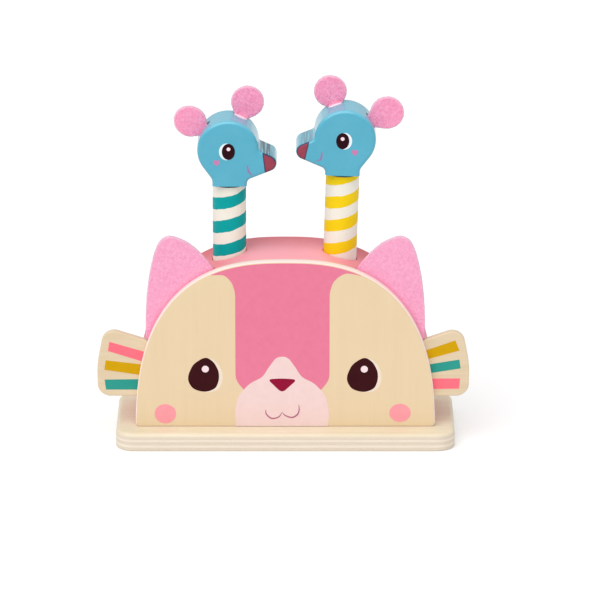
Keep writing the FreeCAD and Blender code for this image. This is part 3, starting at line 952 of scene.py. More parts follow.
def ribbon(path: Array, width: float, depth: float) -> Shape:
    """Painted line: a flat band carried along a path, narrowing to points at its ends.

    The band's half width is width / 2 times the square root of sine over the line's length.

    Args:
        path: Array of (n, 2) places of its middle.
        width: Widest width.
        depth: Y of its face.

    Returns:
        The band, which faces -Y.
    """
    along = np.gradient(path, axis=0)
    side = np.stack([-along[:, 1], along[:, 0]], axis=-1)
    side = side / np.linalg.norm(side, axis=1, keepdims=True)
    narrowing = taper(len(path))[:, None, None]
    across = np.linspace(-1, 1, 5)[None, :, None]
    flat = path[:, None, :] + side[:, None, :] * narrowing * across * width / 2
    shape = Shape()
    shape.sheet(upright(flat, depth), FILM_WALL)
    return shape


@dataclass
class BodyCurve:
    """The body's arched outline, a superellipse |x / a|^p + |z / b|^p = 1.

    Its centre lies below the base's top.
    """

    half_width: float = limits("arch_cover")[1][0]
    top: float = limits("arch_cover")[1][2]
    foot: float = limits("base_board")[1][2]
    drop: float = 8.4
    power: float = 2.6

    @property
    def centre(self) -> float:
        """Height of the superellipse's centre."""
        return self.foot - self.drop

    def height_at(self, x: float | Array, inset: float = 0.0) -> Array:
        """Height of the outline at x, with both half-axes made smaller by inset."""
        share = np.clip(np.abs(x) / (self.half_width - inset), 0, 1)
        return self.centre + (self.top - self.centre - inset) * (1 - share**self.power) ** (1 / self.power)

    def side_at(self, z: float) -> float:
        """Distance of the outline from the middle at height z."""
        share = (z - self.centre) / (self.top - self.centre)
        return self.half_width * (1 - share**self.power) ** (1 / self.power)

    def beyond(self, places: Array) -> Array:
        """Distance of each place outside the outline, along the line from its centre.

        With s = (|x / a|^p + |z / b|^p)^(1 / p) round the centre, the place lies its distance from
        the centre times 1 - 1 / s beyond the outline.

        Args:
            places: Array of (..., 2) places.

        Returns:
            One distance for each place, below 0 inside the outline.
        """
        across, up = np.abs(places[..., 0]), np.maximum(places[..., 1] - self.centre, 0)
        wide, tall = across / self.half_width, up / (self.top - self.centre)
        scale = (wide**self.power + tall**self.power) ** (1 / self.power)
        return np.hypot(across, up) * (1 - 1 / np.maximum(scale, POINT_SPREAD))

    def arc(self, start: Place, end: Place, count: int, inset: float = 0.0) -> Array:
        """Places along the outline between two of its points, evenly spaced in its angle.

        Args:
            start: First (x, z), near the outline.
            end: Last (x, z), near the outline.
            count: How many places.
            inset: How much smaller both half-axes are.

        Returns:
            Array of (count, 2). At angle t the place is a cos(t)^(2/p), b sin(t)^(2/p).
        """
        a, b = self.half_width - inset, self.top - self.centre - inset
        angles = []
        for x, z in (start, end):
            across, up = abs(x) / a, max(z - self.centre, 0) / b
            t = math.atan2(up ** (self.power / 2), across ** (self.power / 2))
            angles.append(t if x >= 0 else math.pi - t)
        t = np.linspace(angles[0], angles[1], count)
        across = np.sign(np.cos(t)) * np.abs(np.cos(t)) ** (2 / self.power)
        return np.stack([a * across, self.centre + b * np.sin(t) ** (2 / self.power)], axis=-1)


CURVE = BodyCurve()


@dataclass
class CatFace:
    """The face printed on the front panel: blaze, muzzle, eyes, nose, mouth and cheeks."""

    front: float = limits("front_panel")[0][1]
    lift: float = 0.05
    middle: float = -1.9
    blaze_half: float = 31.1
    blaze_foot: Places = ((22.0, 34.0), (25.9, 38.4), (29.4, 43.0), (30.9, 47.0), (31.1, 52.0))
    steep_top: float = 101.0
    steep_rows: int = 31
    flare_rows: int = 41
    blaze_columns: int = 49
    flares: tuple[Places, ...] = (
        ((0.0, 101.0), (0.1, 105.0), (0.9, 109.0), (3.0, 113.8), (7.7, 117.9)),
        ((0.0, 101.0), (0.1, 105.0), (0.9, 109.0), (3.0, 113.8), (7.7, 117.9), (12.6, 119.2)),
    )
    flare_reaches: tuple[float, float] = (47.2, 52.2)
    rim_gap: float = 1.1
    eye_outline: Places = (
        (-5.9, 8.2), (-9.0, 3.0), (-10.2, -1.6), (-9.3, -5.8), (-5.9, -9.7), (1.0, -11.4), (7.2, -9.2),
        (9.7, -4.6), (10.2, 0.4), (9.3, 4.5), (6.2, 9.7), (1.0, 12.3),
    )
    eye_centres: Places = ((-54.1, 48.1), (51.0, 48.0))
    white_shift: Place = (2.4, -0.5)
    glint_shift: Place = (1.2, 4.5)
    glint_radius: float = 2.35
    muzzle_left: Places = (
        (-2.15, 61.3), (-4.6, 60.9), (-6.9, 59.4), (-8.7, 57.0), (-11.3, 53.2), (-15.5, 47.0),
        (-22.7, 42.8), (-27.4, 38.2), (-31.2, 32.8), (-33.1, 22.7), (-32.6, 12.4),
    )
    muzzle_middle: float = 30.0
    nose: Places = ((-2.2, 35.7), (7.9, 45.3), (-2.0, 46.0), (-11.9, 45.5))
    nose_middle: Place = (-2.1, 42.5)
    nose_round: float = 3.4
    mouth_left: Places = (
        (-12.9, 24.2), (-12.8, 21.3), (-10.4, 18.5), (-7.8, 17.8), (-4.3, 19.0), (-2.15, 22.2),
    )
    mouth_right: Places = (
        (-2.15, 22.2), (0.0, 19.9), (4.3, 18.5), (7.8, 20.4), (9.1, 23.6), (8.9, 27.7),
    )
    mouth_width: float = 1.0
    cheek_centres: Places = ((-79.6, 21.1), (76.0, 21.7))
    cheek_radii: tuple[tuple[float, float], ...] = ((7.1, 6.8), (7.1, 6.4))

    def blaze(self, depth: float) -> Shape:
        """The pink blaze between its two sides, which flare to the panel's rim.

        Rows run straight between the sides. Up the flare they bulge more and more, each by its
        share of the rim's own bulge over its straight chord, and the last row is the rim's curve.

        Args:
            depth: Y of its face.

        Returns:
            The sheet.
        """
        low = smooth_curve(list(self.blaze_foot), 8)
        heights = np.linspace(low[-1, 1], self.steep_top, self.steep_rows + 1)[1:]
        steep = np.stack([np.full(self.steep_rows, self.blaze_half), heights], axis=-1)
        sides = []
        for sign, places, reach in zip((-1, 1), self.flares, self.flare_reaches):
            rim_z = float(CURVE.height_at(self.middle + sign * reach, self.rim_gap))
            bend = smooth_curve([*((self.blaze_half + out, z) for out, z in places), (reach, rim_z)], 8)
            spread = np.linspace(0, len(bend) - 1, self.flare_rows)
            bend = np.stack([np.interp(spread, np.arange(len(bend)), run) for run in bend.T], axis=-1)
            run = np.vstack([low, steep, bend[1:]])
            sides.append(run * np.array([sign, 1]) + np.array([self.middle, 0]))
        share = np.linspace(0, 1, self.blaze_columns)[None, :, None]
        rows = sides[0][:, None] * (1 - share) + sides[1][:, None] * share
        rim = CURVE.arc(tuple(sides[0][-1]), tuple(sides[1][-1]), self.blaze_columns, inset=self.rim_gap)
        bulge = np.clip(np.arange(len(rows)) - len(rows) + self.flare_rows, 0, None) / (self.flare_rows - 1)
        rows = rows + bulge[:, None, None] * (rim - rows[-1])
        shape = Shape()
        shape.sheet(upright(rows, depth).transpose(1, 0, 2), FILM_WALL)
        return shape

    def muzzle_outline(self) -> Array:
        """The pale muzzle: a bell down to the panel's foot, the same on both sides of the face's middle."""
        left = smooth_curve(list(self.muzzle_left), 8)
        right = np.stack([2 * left[0, 0] - left[::-1, 0], left[::-1, 1]], axis=-1)
        return np.vstack([left, right[:-1]])

    def rounded(self, corners: Places, radius: float) -> Array:
        """Polygon with rounded corners.

        A corner becomes the curve (1 - t)^2 start + 2 t (1 - t) corner + t^2 end, between the
        places a radius before and after it.

        Args:
            corners: The polygon's corners.
            radius: How far from each corner its curve starts and ends.

        Returns:
            Array of (n, 2) places.
        """
        points = np.array(corners, float)
        before, after = np.roll(points, 1, axis=0), np.roll(points, -1, axis=0)
        back = (before - points) / np.linalg.norm(before - points, axis=1, keepdims=True)
        ahead = (after - points) / np.linalg.norm(after - points, axis=1, keepdims=True)
        t = np.linspace(0, 1, 7)[None, :, None]
        start, end = (points + back * radius)[:, None], (points + ahead * radius)[:, None]
        return ((1 - t) ** 2 * start + 2 * t * (1 - t) * points[:, None] + t**2 * end).reshape(-1, 2)

    def build(self) -> None:
        """Lay every printed area on the panel, each a little prouder than what it covers."""
        inks = {
            "blaze": PrintFinish("blaze_pink_ink", (233, 126, 155), (229, 119, 149)),
            "muzzle": PrintFinish("muzzle_pale_ink", (242, 214, 211), (238, 208, 204)),
            "dark": PrintFinish("eye_plum_ink", (59, 9, 17), (52, 7, 13), 0.4, 0.1),
            "white": PrintFinish("eye_white_ink", (240, 224, 206), (236, 219, 200)),
            "glint": PrintFinish("glint_ink", (250, 226, 230), (246, 220, 225)),
            "nose": PrintFinish("nose_crimson_ink", (150, 12, 56), (142, 9, 50), 0.4, 0.1),
            "mouth": PrintFinish("mouth_rose_ink", (182, 102, 132), (174, 94, 124)),
            "cheek": PrintFinish("cheek_pink_ink", (250, 160, 170), (246, 152, 163)),
        }
        ink = {key: finish.material() for key, finish in inks.items()}
        level = [self.front - self.lift * k for k in range(1, 4)]

        def lay(shape: Shape, name: str, key: str) -> None:
            """Add one printed area."""
            add_piece(shape, name, "housing", ink[key])

        lay(self.blaze(level[0]), "face_blaze", "blaze")
        bell_middle = (self.middle, self.muzzle_middle)
        lay(film(self.muzzle_outline(), bell_middle, level[1], 4), "face_muzzle", "muzzle")
        lay(film(self.rounded(self.nose, self.nose_round), self.nose_middle, level[2]), "face_nose", "nose")
        for name, path in zip(SIDES, (self.mouth_left, self.mouth_right)):
            curve = smooth_curve(list(path), 10)
            lay(ribbon(curve, self.mouth_width, level[2]), f"face_mouth_{name}", "mouth")
        egg = smooth_curve(list(self.eye_outline), 10, closed=True)
        for name, centre in zip(SIDES, self.eye_centres):
            place = egg + np.array(centre)
            white = place + np.array(self.white_shift)
            shift = tuple(c + s for c, s in zip(centre, self.white_shift))
            glint = tuple(c + s for c, s in zip(centre, self.glint_shift))
            lay(film(white, shift, level[0]), f"face_eye_white_{name}", "white")
            lay(film(place, centre, level[1]), f"face_eye_{name}", "dark")
            dot = ellipse(glint, (self.glint_radius,) * 2, 48)
            lay(film(dot, glint, level[2]), f"face_glint_{name}", "glint")
        for name, centre, radii in zip(SIDES, self.cheek_centres, self.cheek_radii):
            lay(film(ellipse(centre, radii), centre, level[0]), f"face_cheek_{name}", "cheek")


# ---- Felt ---------------------------------------------------------------------------------------
@dataclass(frozen=True)
class Felt:
    """Sheet of felt: its thickness, soft rim, uneven surface and the loose fibres on it."""

    thickness: float = 3.0
    rim: float = 1.0
    clump: float = 1.3
    clump_height: float = 0.13
    nap: float = 0.45
    nap_height: float = 0.06
    fibre_length: float = 2.2
    fibre_radius: float = 0.035
    fibre_rise: float = 0.16
    fibre_rows: int = 5
    fibre_sides: int = 3

    def rim_tone(self, size: tuple[int, int], middle: int) -> Array:
        """Shade of each point of a sheet whose columns run over its rim: 0.5, and 2 on the rim itself.

        Args:
            size: Rows and columns of the sheet, front and back.
            middle: The front column where the rim's rounding starts.

        Returns:
            Array of the sheet's size.
        """
        tone = np.full(size, 0.5)
        tone[:, middle : size[1] - middle] = 2.0
        return tone

    def roughened(self, grid: Array, wrap_u: bool, seed: int) -> Array:
        """Push each point of a grid out or in along its normal by two sizes of smooth noise."""
        relief = self.clump_height * lattice_noise(grid, self.clump, seed)
        relief = relief + self.nap_height * lattice_noise(grid, self.nap, seed + 1)
        return grid + grid_normals(grid, wrap_u) * relief[..., None]

    def fibres(self, shape: Shape, grid: Array, wrap_u: bool, count: int, seed: int) -> None:
        """Lay loose fibres on a surface, each with both ends sunk in it.

        A fibre starts at a random place, runs along the surface in a random way that bends to one
        side, and rises and falls as the sine of its share, so that it stands proud in the middle.
        Its section is a triangle that shrinks to its ends.

        Args:
            shape: Where the fibres go.
            grid: The surface's (u, v, 3) places.
            wrap_u: Whether the last row joins the first.
            count: How many fibres.
            seed: Seed of the places and ways.
        """
        rng = np.random.default_rng(seed)
        normals = grid_normals(grid, wrap_u)
        area = np.linalg.norm(grid_cross(grid, wrap_u), axis=-1).ravel()
        pick = rng.choice(area.size, count, p=area / area.sum())
        start, normal = grid.reshape(-1, 3)[pick], normals.reshape(-1, 3)[pick]
        way = rng.normal(size=(count, 3))
        way = way - (way * normal).sum(axis=1, keepdims=True) * normal
        way = way / np.linalg.norm(way, axis=1, keepdims=True)
        side = np.cross(normal, way)
        length = self.fibre_length * rng.uniform(0.5, 1.2, count)[:, None, None]
        bend = rng.uniform(-0.6, 0.6, count)[:, None, None]
        rise = self.fibre_rise * rng.uniform(0.5, 1.6, count)[:, None, None]
        t = np.linspace(0, 1, self.fibre_rows)[None, :, None]
        line = start[:, None] + way[:, None] * (t - 0.5) * length
        line = line + side[:, None] * bend * (t * (1 - t)) * length
        line = line + normal[:, None] * (rise * np.sin(math.pi * t) - self.fibre_radius * 2)
        angle = np.arange(self.fibre_sides) * 2 * math.pi / self.fibre_sides
        ring = side[:, None] * np.cos(angle)[None, :, None] + normal[:, None] * np.sin(angle)[None, :, None]
        girth = self.fibre_radius * (1 - 0.7 * np.abs(2 * t - 1))
        tubes = line[:, :, None, :] + ring[:, None] * girth[:, :, None]
        keep = rng.uniform(0.0, 1.0, count)
        size = self.fibre_rows * self.fibre_sides
        index = np.arange(count * size).reshape(count, self.fibre_rows, self.fibre_sides) + shape.count
        ahead = np.roll(index, -1, axis=2)
        quads = np.stack([index[:, :-1], index[:, 1:], ahead[:, 1:], ahead[:, :-1]], axis=-1)
        ends = index[:, [0, -1]][..., [0, 1, 2, 2]]
        ends[:, 0] = ends[:, 0, ::-1]
        shape.points.append(tubes.reshape(-1, 3))
        shape.tones.append(np.repeat(keep, size))
        shape.faces.append(quads.reshape(-1, 4))
        shape.faces.append(ends.reshape(-1, 4))
        shape.count += count * size


@dataclass
class CatEar:
    """Felt cat ear between the front panel and the cover.

    It is a ruled sheet from the body's curve to the ear's own outline. Its rim turns pale where
    the sheet is wider than rim_from, and fully so rim_over later. A painted shade deepens the felt
    from the body's outline out to the distance set for it below.
    """

    side: str
    felt: Felt = field(default_factory=Felt)
    tab: float = 7.0
    low_height: float = 60.0
    low_inset: float = 7.3
    low_lean: float = 2.0
    inner_inset: float = 52.2
    rim_places: Places = (
        (8.2, -24.0), (12.5, 1.2), (16.1, 10.7), (26.5, 15.05), (40.5, 6.9),
    )
    painted_fold_shade: float = 2.6
    rim_from: float = 10.8
    rim_over: float = 9.0
    rim_reach: float = 1.3
    spacing: float = 0.47
    across: int = 64
    crowding: float = 1.25
    fibre_count: int = 5200
    seeds: dict[str, int] = field(default_factory=lambda: {"left": 11, "right": 23})

    def outline(self) -> Array:
        """The ear's rim on the right side, from its low corner round its tip to its inner corner.

        Each arc leaves the way the one before arrived. From a place with way w, a chord of length L
        that turns by a from w gives places at L sin(a s) / sin(a) along the way w + a s, for shares
        s from 0 to 1, and the arc arrives along the way w + 2 a.

        Returns:
            Array of (n, 2) places.
        """
        half_width, top = CURVE.half_width, CURVE.top
        inner_x = half_width - self.inner_inset
        start = np.array([half_width - self.low_inset, CURVE.foot + self.low_height])
        ends = [np.array([half_width - inset, top + rise]) for inset, rise in self.rim_places]
        ends.append(np.array([inner_x, float(CURVE.height_at(inner_x))]))
        way = math.radians(90 - self.low_lean)
        runs = []
        for end in ends:
            step = end - start
            length = math.hypot(*step)
            turn = (math.atan2(step[1], step[0]) - way + math.pi) % (2 * math.pi) - math.pi
            count = math.ceil(length / self.spacing)
            share = np.arange(count) / count
            reach = length * share * np.sinc(turn * share / math.pi) / np.sinc(turn / math.pi)
            angle = way + turn * share
            runs.append(start + reach[:, None] * np.stack([np.cos(angle), np.sin(angle)], axis=-1))
            start, way = end, way + 2 * turn
        return np.vstack([*runs, start[None]])

    def build(self, finish: Material) -> None:
        """Build the sheet, roughen it and lay fibres on it.

        With i along the body's curve and t from the tab's edge to the rim, a place is
        (1 - t) times the inner curve plus t times the outline. Half the thickness at distance d
        from the rim is the felt's own, and within the rim's radius r it is less by
        r (1 - sqrt(1 - (1 - d / r)^2)).

        Args:
            finish: The felt.
        """
        outer = self.outline()
        low = (CURVE.side_at(outer[0, 1]), outer[0, 1])
        tab = CURVE.arc(low, tuple(outer[-1]), len(outer), inset=self.tab)
        share = 1 - (1 - np.linspace(0, 1, self.across)) ** self.crowding
        flat = tab[:, None] + share[None, :, None] * (outer - tab)[:, None]
        width = np.linalg.norm(outer - tab, axis=1)[:, None]
        from_rim = width * (1 - share)[None, :]
        reach = np.clip(from_rim / self.felt.rim, 0, 1)
        half = self.felt.thickness / 2 - self.felt.rim * (1 - np.sqrt(1 - (1 - reach) ** 2))
        half[:, -1] = self.felt.thickness / 2 - self.felt.rim
        middle_y = sum(corner[1] for corner in limits(f"{self.side}_cat_ear")) / 2
        if self.side == "left":
            flat = flat * np.array([-1, 1])
        front, back = upright(flat, middle_y - half), upright(flat, middle_y + half)
        if self.side == "right":
            front, back = front[::-1], back[::-1]
        sheet = np.concatenate([back, front[:, ::-1]], axis=1)
        seed = self.seeds[self.side]
        sheet = self.felt.roughened(sheet, False, seed)
        fade = np.clip((width - self.rim_from) / self.rim_over, 0, 1)
        tone = 0.5 + 1.5 * fade * (from_rim < self.rim_reach * self.felt.rim)
        beyond = CURVE.beyond(flat)
        # Painted shade: the tone falls below 0 within that distance of the body's outline.
        tone = tone - 1.5 * np.clip(1 - beyond / self.painted_fold_shade, 0, 1)
        tone = tone if self.side == "left" else tone[::-1]
        shape = Shape()
        shape.patch(sheet, wrap_v=True, tone=np.concatenate([tone, tone[:, ::-1]], axis=1))
        for edge, order in ((0, 1), (-1, -1)):
            strip = sheet[edge]
            pair = np.stack([strip[: self.across], strip[::-1][: self.across]])[::order]
            shape.patch(pair.transpose(1, 0, 2), tone=0.5)
        self.felt.fibres(shape, sheet, False, self.fibre_count, seed + 5)
        add_piece(
            shape, f"{self.side}_felt_cat_ear", "housing", finish, 180.0,
            stands_for=(f"{self.side}_cat_ear",),
        )


# ---- Mice ---------------------------------------------------------------------------------------
@dataclass
class Stand:
    """Where one mouse stands: its peg's axis, its neck and which way it looks."""

    side: str
    peg_radius: float = 11.0

    def __post_init__(self) -> None:
        """Read the axis from the turning joint and the neck's height from the head."""
        joint = next(j for j in frame["joints"] if j["name"] == f"{self.side}_turn")
        self.pivot = np.array(joint["pos_m"]) / MM
        self.axis = np.array(joint["axis"], float)
        self.across = np.array([self.axis[2], 0.0, -self.axis[0]])
        self.look = 1.0 if self.side == "left" else -1.0
        low = limits(f"{self.side}_mouse_head")[0][2] + self.peg_radius * abs(self.axis[0])
        self.neck = self.pivot + self.axis * (low - self.pivot[2]) / self.axis[2]

    def world(self, local: Array) -> Array:
        """Turn (u, y, v) places of the head's own frame, u to the snout and v up, into the toy's frame."""
        ahead = local[..., :1] * self.look * self.across
        return self.neck + ahead + local[..., 1:2] * np.array([0.0, 1.0, 0.0]) + local[..., 2:] * self.axis


@dataclass
class Peg:
    """A mouse's peg: cream paint with one broad spiral stripe."""

    stand: Stand
    middle_height: float
    pitch: float
    stripe: PaintFinish
    band: float = 8.0
    lift: float = 0.05
    wobble: float = 0.36
    first_turn: float = -9.0
    first_taper: float = 0.12
    low_gap: float = 1.0
    top_gap: float = 0.6
    per_turn: int = 96
    waves_per_turn: float = 7.0
    wave_cells: tuple[float, float] = (0.9, 0.23)
    seeds: dict[str, int] = field(default_factory=lambda: {"left": 31, "right": 47})

    def build(self, cream: Material) -> None:
        """Dress the peg and lay the stripe on it.

        The stripe's middle climbs by the pitch in one turn. Across it a place lies s * band / 2
        higher, with s from -1 to 1, and each edge wanders by smooth noise. Both shrink to nothing
        at the stripe's first turn. Heights are cut off a little short of the peg's ends.

        Args:
            cream: The peg's own paint.
        """
        side = self.stand.side
        dress_node(f"{side}_peg", cream)
        foot, head = (corner[2] for corner in limits(f"{side}_peg"))
        low, high = foot - head + self.low_gap, -self.top_gap
        start = self.middle_height - self.stand.neck[2]
        first = max(math.floor((low - start) / self.pitch) - 1, self.first_turn)
        turns = np.arange(first, math.ceil((high - start) / self.pitch) + 1, 1 / self.per_turn)
        across = np.linspace(-1, 1, 9)[None, :]
        upper, lower = (self.wander(turns, self.seeds[side] + k)[:, None] for k in (0, 1))
        edge = np.where(across > 0, upper, lower) * np.abs(across) * self.wobble
        share = np.sqrt(np.clip((turns - self.first_turn) / self.first_taper, 0, 1))[:, None]
        height = (start + turns * self.pitch)[:, None] + share * (across * self.band / 2 + edge)
        inside = (height.max(axis=1) > low) & (height.min(axis=1) < high)
        height = np.clip(height, low, high)[inside]
        angle = (turns * 2 * math.pi - math.pi / 2)[inside][:, None]
        radius = self.stand.peg_radius + self.lift
        around = (self.stand.look * (radius * np.cos(angle)), radius * np.sin(angle), height)
        shape = Shape()
        shape.sheet(self.stand.world(np.stack(np.broadcast_arrays(*around), axis=-1)), FILM_WALL)
        add_piece(shape, f"{side}_peg_stripe", f"{side}_mouse", self.stripe.material())

    def wander(self, turns: Array, seed: int) -> Array:
        """How far an edge of the stripe strays, in shares of the wobble.

        Args:
            turns: Places along the stripe, in turns.
            seed: Seed of the edge's noise.

        Returns:
            Long waves, and short ones of half their height, for each place.
        """
        along = turns * self.waves_per_turn
        spots = np.stack([along, np.zeros_like(along), np.zeros_like(along)], axis=-1)
        long_cell, short_cell = self.wave_cells
        return lattice_noise(spots, long_cell, seed) + 0.5 * lattice_noise(spots, short_cell, seed + 2)


@dataclass(frozen=True)
class MouseFace:
    """Places of one mouse's painted areas on its flat front face, (u, v) in the head's own frame."""

    eye: Place
    glint_shift: Place
    cheek: Place
    smile: Places
    nose_cut: Places


@dataclass
class MouseHead:
    """A mouse's head: blue paint, and its eye, cheek, smile and nose painted on the front face."""

    stand: Stand
    face: MouseFace
    front: float
    lift: float = 0.05
    edge_round: float = 2.5
    eye_radii: tuple[float, float] = (4.3, 5.5)
    white_shift: Place = (-1.25, 0.0)
    white_radii: tuple[float, float] = (4.9, 5.7)
    glint_radius: float = 1.25
    cheek_heart: Places = (
        (0.0, -2.2), (1.5, -1.0), (2.2, 0.5), (1.4, 1.8),
        (0.0, 1.4), (-1.4, 1.8), (-2.2, 0.5), (-1.5, -1.0),
    )
    smile_width: float = 1.4
    tip: Place = (25.7, 15.66)
    tip_radius: float = 5.6
    jaw_slope: float = 22.0
    bridge_slope: float = 24.0
    nose_insets: tuple[float, float] = (0.35, 1.1)
    nose_line: float = 0.75
    nose_blends: tuple[float, ...] = (0.35, 0.7, 1.0)
    painted_shadow_drop: float = 1.8
    painted_shadow_lift: float = 0.1

    def nose_ring(self, inset: float, ahead: float) -> Array:
        """The nose patch's outer rim at a distance inside the head's outline.

        Lines offset from the bridge and the jaw meet the cut across the snout, and an arc round
        the snout's tip joins them.

        Args:
            inset: Distance inside the outline.
            ahead: How far the cut is moved towards the tip.

        Returns:
            Array of (n, 2), from the bridge's end of the cut round the tip to the jaw's end.
        """
        jaw, bridge = math.radians(self.jaw_slope), math.radians(self.bridge_slope)
        tip, radius = np.array(self.tip), self.tip_radius - inset
        angle = np.linspace(math.pi / 2 - bridge, jaw - math.pi / 2, 25)
        arc = tip + radius * np.stack([np.cos(angle), np.sin(angle)], axis=-1)
        top, bottom = (np.array(p) + np.array([ahead, 0.0]) for p in self.face.nose_cut)
        cut = bottom - top

        def on_cut(start: Array, way: Array) -> Array:
            """Where the line from start along way meets the cut."""
            share = np.linalg.solve(np.stack([cut, -way], axis=-1), start - top)[0]
            return top + cut * share

        upper = on_cut(arc[0], np.array([-math.cos(bridge), math.sin(bridge)]))
        lower = on_cut(arc[-1], np.array([-math.cos(jaw), -math.sin(jaw)]))
        t = np.linspace(0, 1, 9)[:-1, None]
        bridge_run, jaw_run = upper + (arc[0] - upper) * t, arc[-1] + (lower - arc[-1]) * t
        return np.vstack([bridge_run, arc, jaw_run[1:], lower[None]])

    def nose(self, layer: int) -> Shape:
        """One layer of the nose: it follows the rounded rim, then lies flat up to the cut across the snout.

        At an inset d the rim lies r - sqrt(r^2 - (r - d)^2) behind the front face. The second layer
        is smaller all round, so that the dark first one shows as a line about it.

        Args:
            layer: 1 for the dark paint, 2 for the crimson on it.

        Returns:
            The layer.
        """
        ahead = self.nose_line * (layer - 1)
        rows = []
        for inset in np.linspace(self.nose_insets[layer - 1], self.edge_round, 5):
            sink = self.edge_round - math.sqrt(self.edge_round**2 - (self.edge_round - inset) ** 2)
            rows.append(upright(self.nose_ring(inset, ahead), self.front + sink - self.lift * layer))
        last = self.nose_ring(self.edge_round, ahead)
        share = np.linspace(0, 1, len(last))[:, None]
        straight = last[0] + (last[-1] - last[0]) * share
        for blend in self.nose_blends:
            rows.append(upright(last + (straight - last) * blend, self.front - self.lift * layer))
        shape = Shape()
        shape.sheet(self.oriented(np.stack(rows)), FILM_WALL)
        return shape

    def oriented(self, grid: Array) -> Array:
        """Place a local grid, with its columns turned round where the mirror image needs it."""
        placed = self.stand.world(grid)
        return placed if self.stand.look > 0 else placed[:, ::-1]

    def spot(self, outline: Array, middle: Place, layer: int) -> Shape:
        """Painted area on the flat front face.

        Args:
            outline: Anticlockwise (u, v) places.
            middle: A place that sees the whole outline.
            layer: How many layers of paint it stands proud of the face.

        Returns:
            The area.
        """
        flat = ringed(outline, middle, 3)
        shape = Shape()
        grid = upright(flat, self.front - self.lift * layer).transpose(1, 0, 2)
        shape.sheet(self.oriented(grid), FILM_WALL, wrap_v=True)
        return shape

    def line(self, path: Array, width: float, layer: int) -> Shape:
        """Painted line on the flat front face, turned round where the mirror image needs it.

        Args:
            path: Array of (n, 2) places of its middle.
            width: Widest width.
            layer: How many layers of paint it stands proud of the face.

        Returns:
            The line.
        """
        shape = ribbon(path, width, self.front - self.lift * layer)
        shape.points = [self.stand.world(p) for p in shape.points]
        if self.stand.look < 0:
            shape.faces = [f[:, ::-1] for f in shape.faces]
        return shape

    def painted_shadow(self) -> Shape:
        """Painted shadow under the head where it meets the peg: a thin dark band round the peg's top, at
        angle a and height v.

        Returns:
            The band.
        """
        angle = np.linspace(0, 2 * math.pi, 96, endpoint=False)[:, None]
        radius = self.stand.peg_radius + self.painted_shadow_lift
        height = np.linspace(-self.painted_shadow_drop, -self.lift, 4)[None, :]
        around = (radius * np.cos(angle), radius * np.sin(angle), height)
        band = np.stack(np.broadcast_arrays(*around), axis=-1)
        shape = Shape()
        grid = self.oriented(band).transpose(1, 0, 2)[::-1]
        shape.sheet(grid, FILM_WALL, wrap_v=True)
        return shape

    def build(self, blue: Material, paints: dict[str, Material]) -> None:
        """Dress the head and lay its painted areas.

        Args:
            blue: The head's own paint.
            paints: The paints of the areas, by name.
        """
        side, body, slot = self.stand.side, f"{self.stand.side}_mouse", "mouse_blue_paint"
        dress_node(f"{side}_mouse_head", blue)
        eye, cheek = self.face.eye, self.face.cheek
        white = tuple(e + s for e, s in zip(eye, self.white_shift))
        glint = tuple(e + s for e, s in zip(eye, self.face.glint_shift))
        heart = smooth_curve(list(self.cheek_heart), 6, closed=True) + np.array(cheek)
        spots = {
            "eye_white": (self.spot(ellipse(white, self.white_radii), white, 1), "white"),
            "eye": (self.spot(ellipse(eye, self.eye_radii), eye, 2), "dark"),
            "glint": (self.spot(ellipse(glint, (self.glint_radius,) * 2, 40), glint, 3), "glint"),
            "cheek": (self.spot(heart, cheek, 1), "cheek"),
            "nose_edge": (self.nose(1), "line"),
            "nose": (self.nose(2), "nose"),
            "smile": (self.line(smooth_curve(list(self.face.smile), 10), self.smile_width, 1), "smile"),
            # Painted shadow round the peg's top, under the head.
            "neck_painted_shadow": (self.painted_shadow(), "painted_shadow"),
        }
        for name, (shape, key) in spots.items():
            add_piece(shape, f"{side}_mouse_{name}", body, paints[key])


@dataclass(frozen=True)
class EarPlace:
    """One mouse ear: where it stands on the skull, its disc, and the marks beside its foot.

    The disc's outer half is drawn out by a factor. The lip is a pale strip on the paint in front of
    the foot, pink behind the rear ears as painted shade, and the gap is the length of a painted
    shadow at the slot's open end above it.
    """

    name: str
    lean: float
    distance: float
    radius: float
    draw_out: float = 1.0
    lip: float = 2.4
    gap: float = 0.0


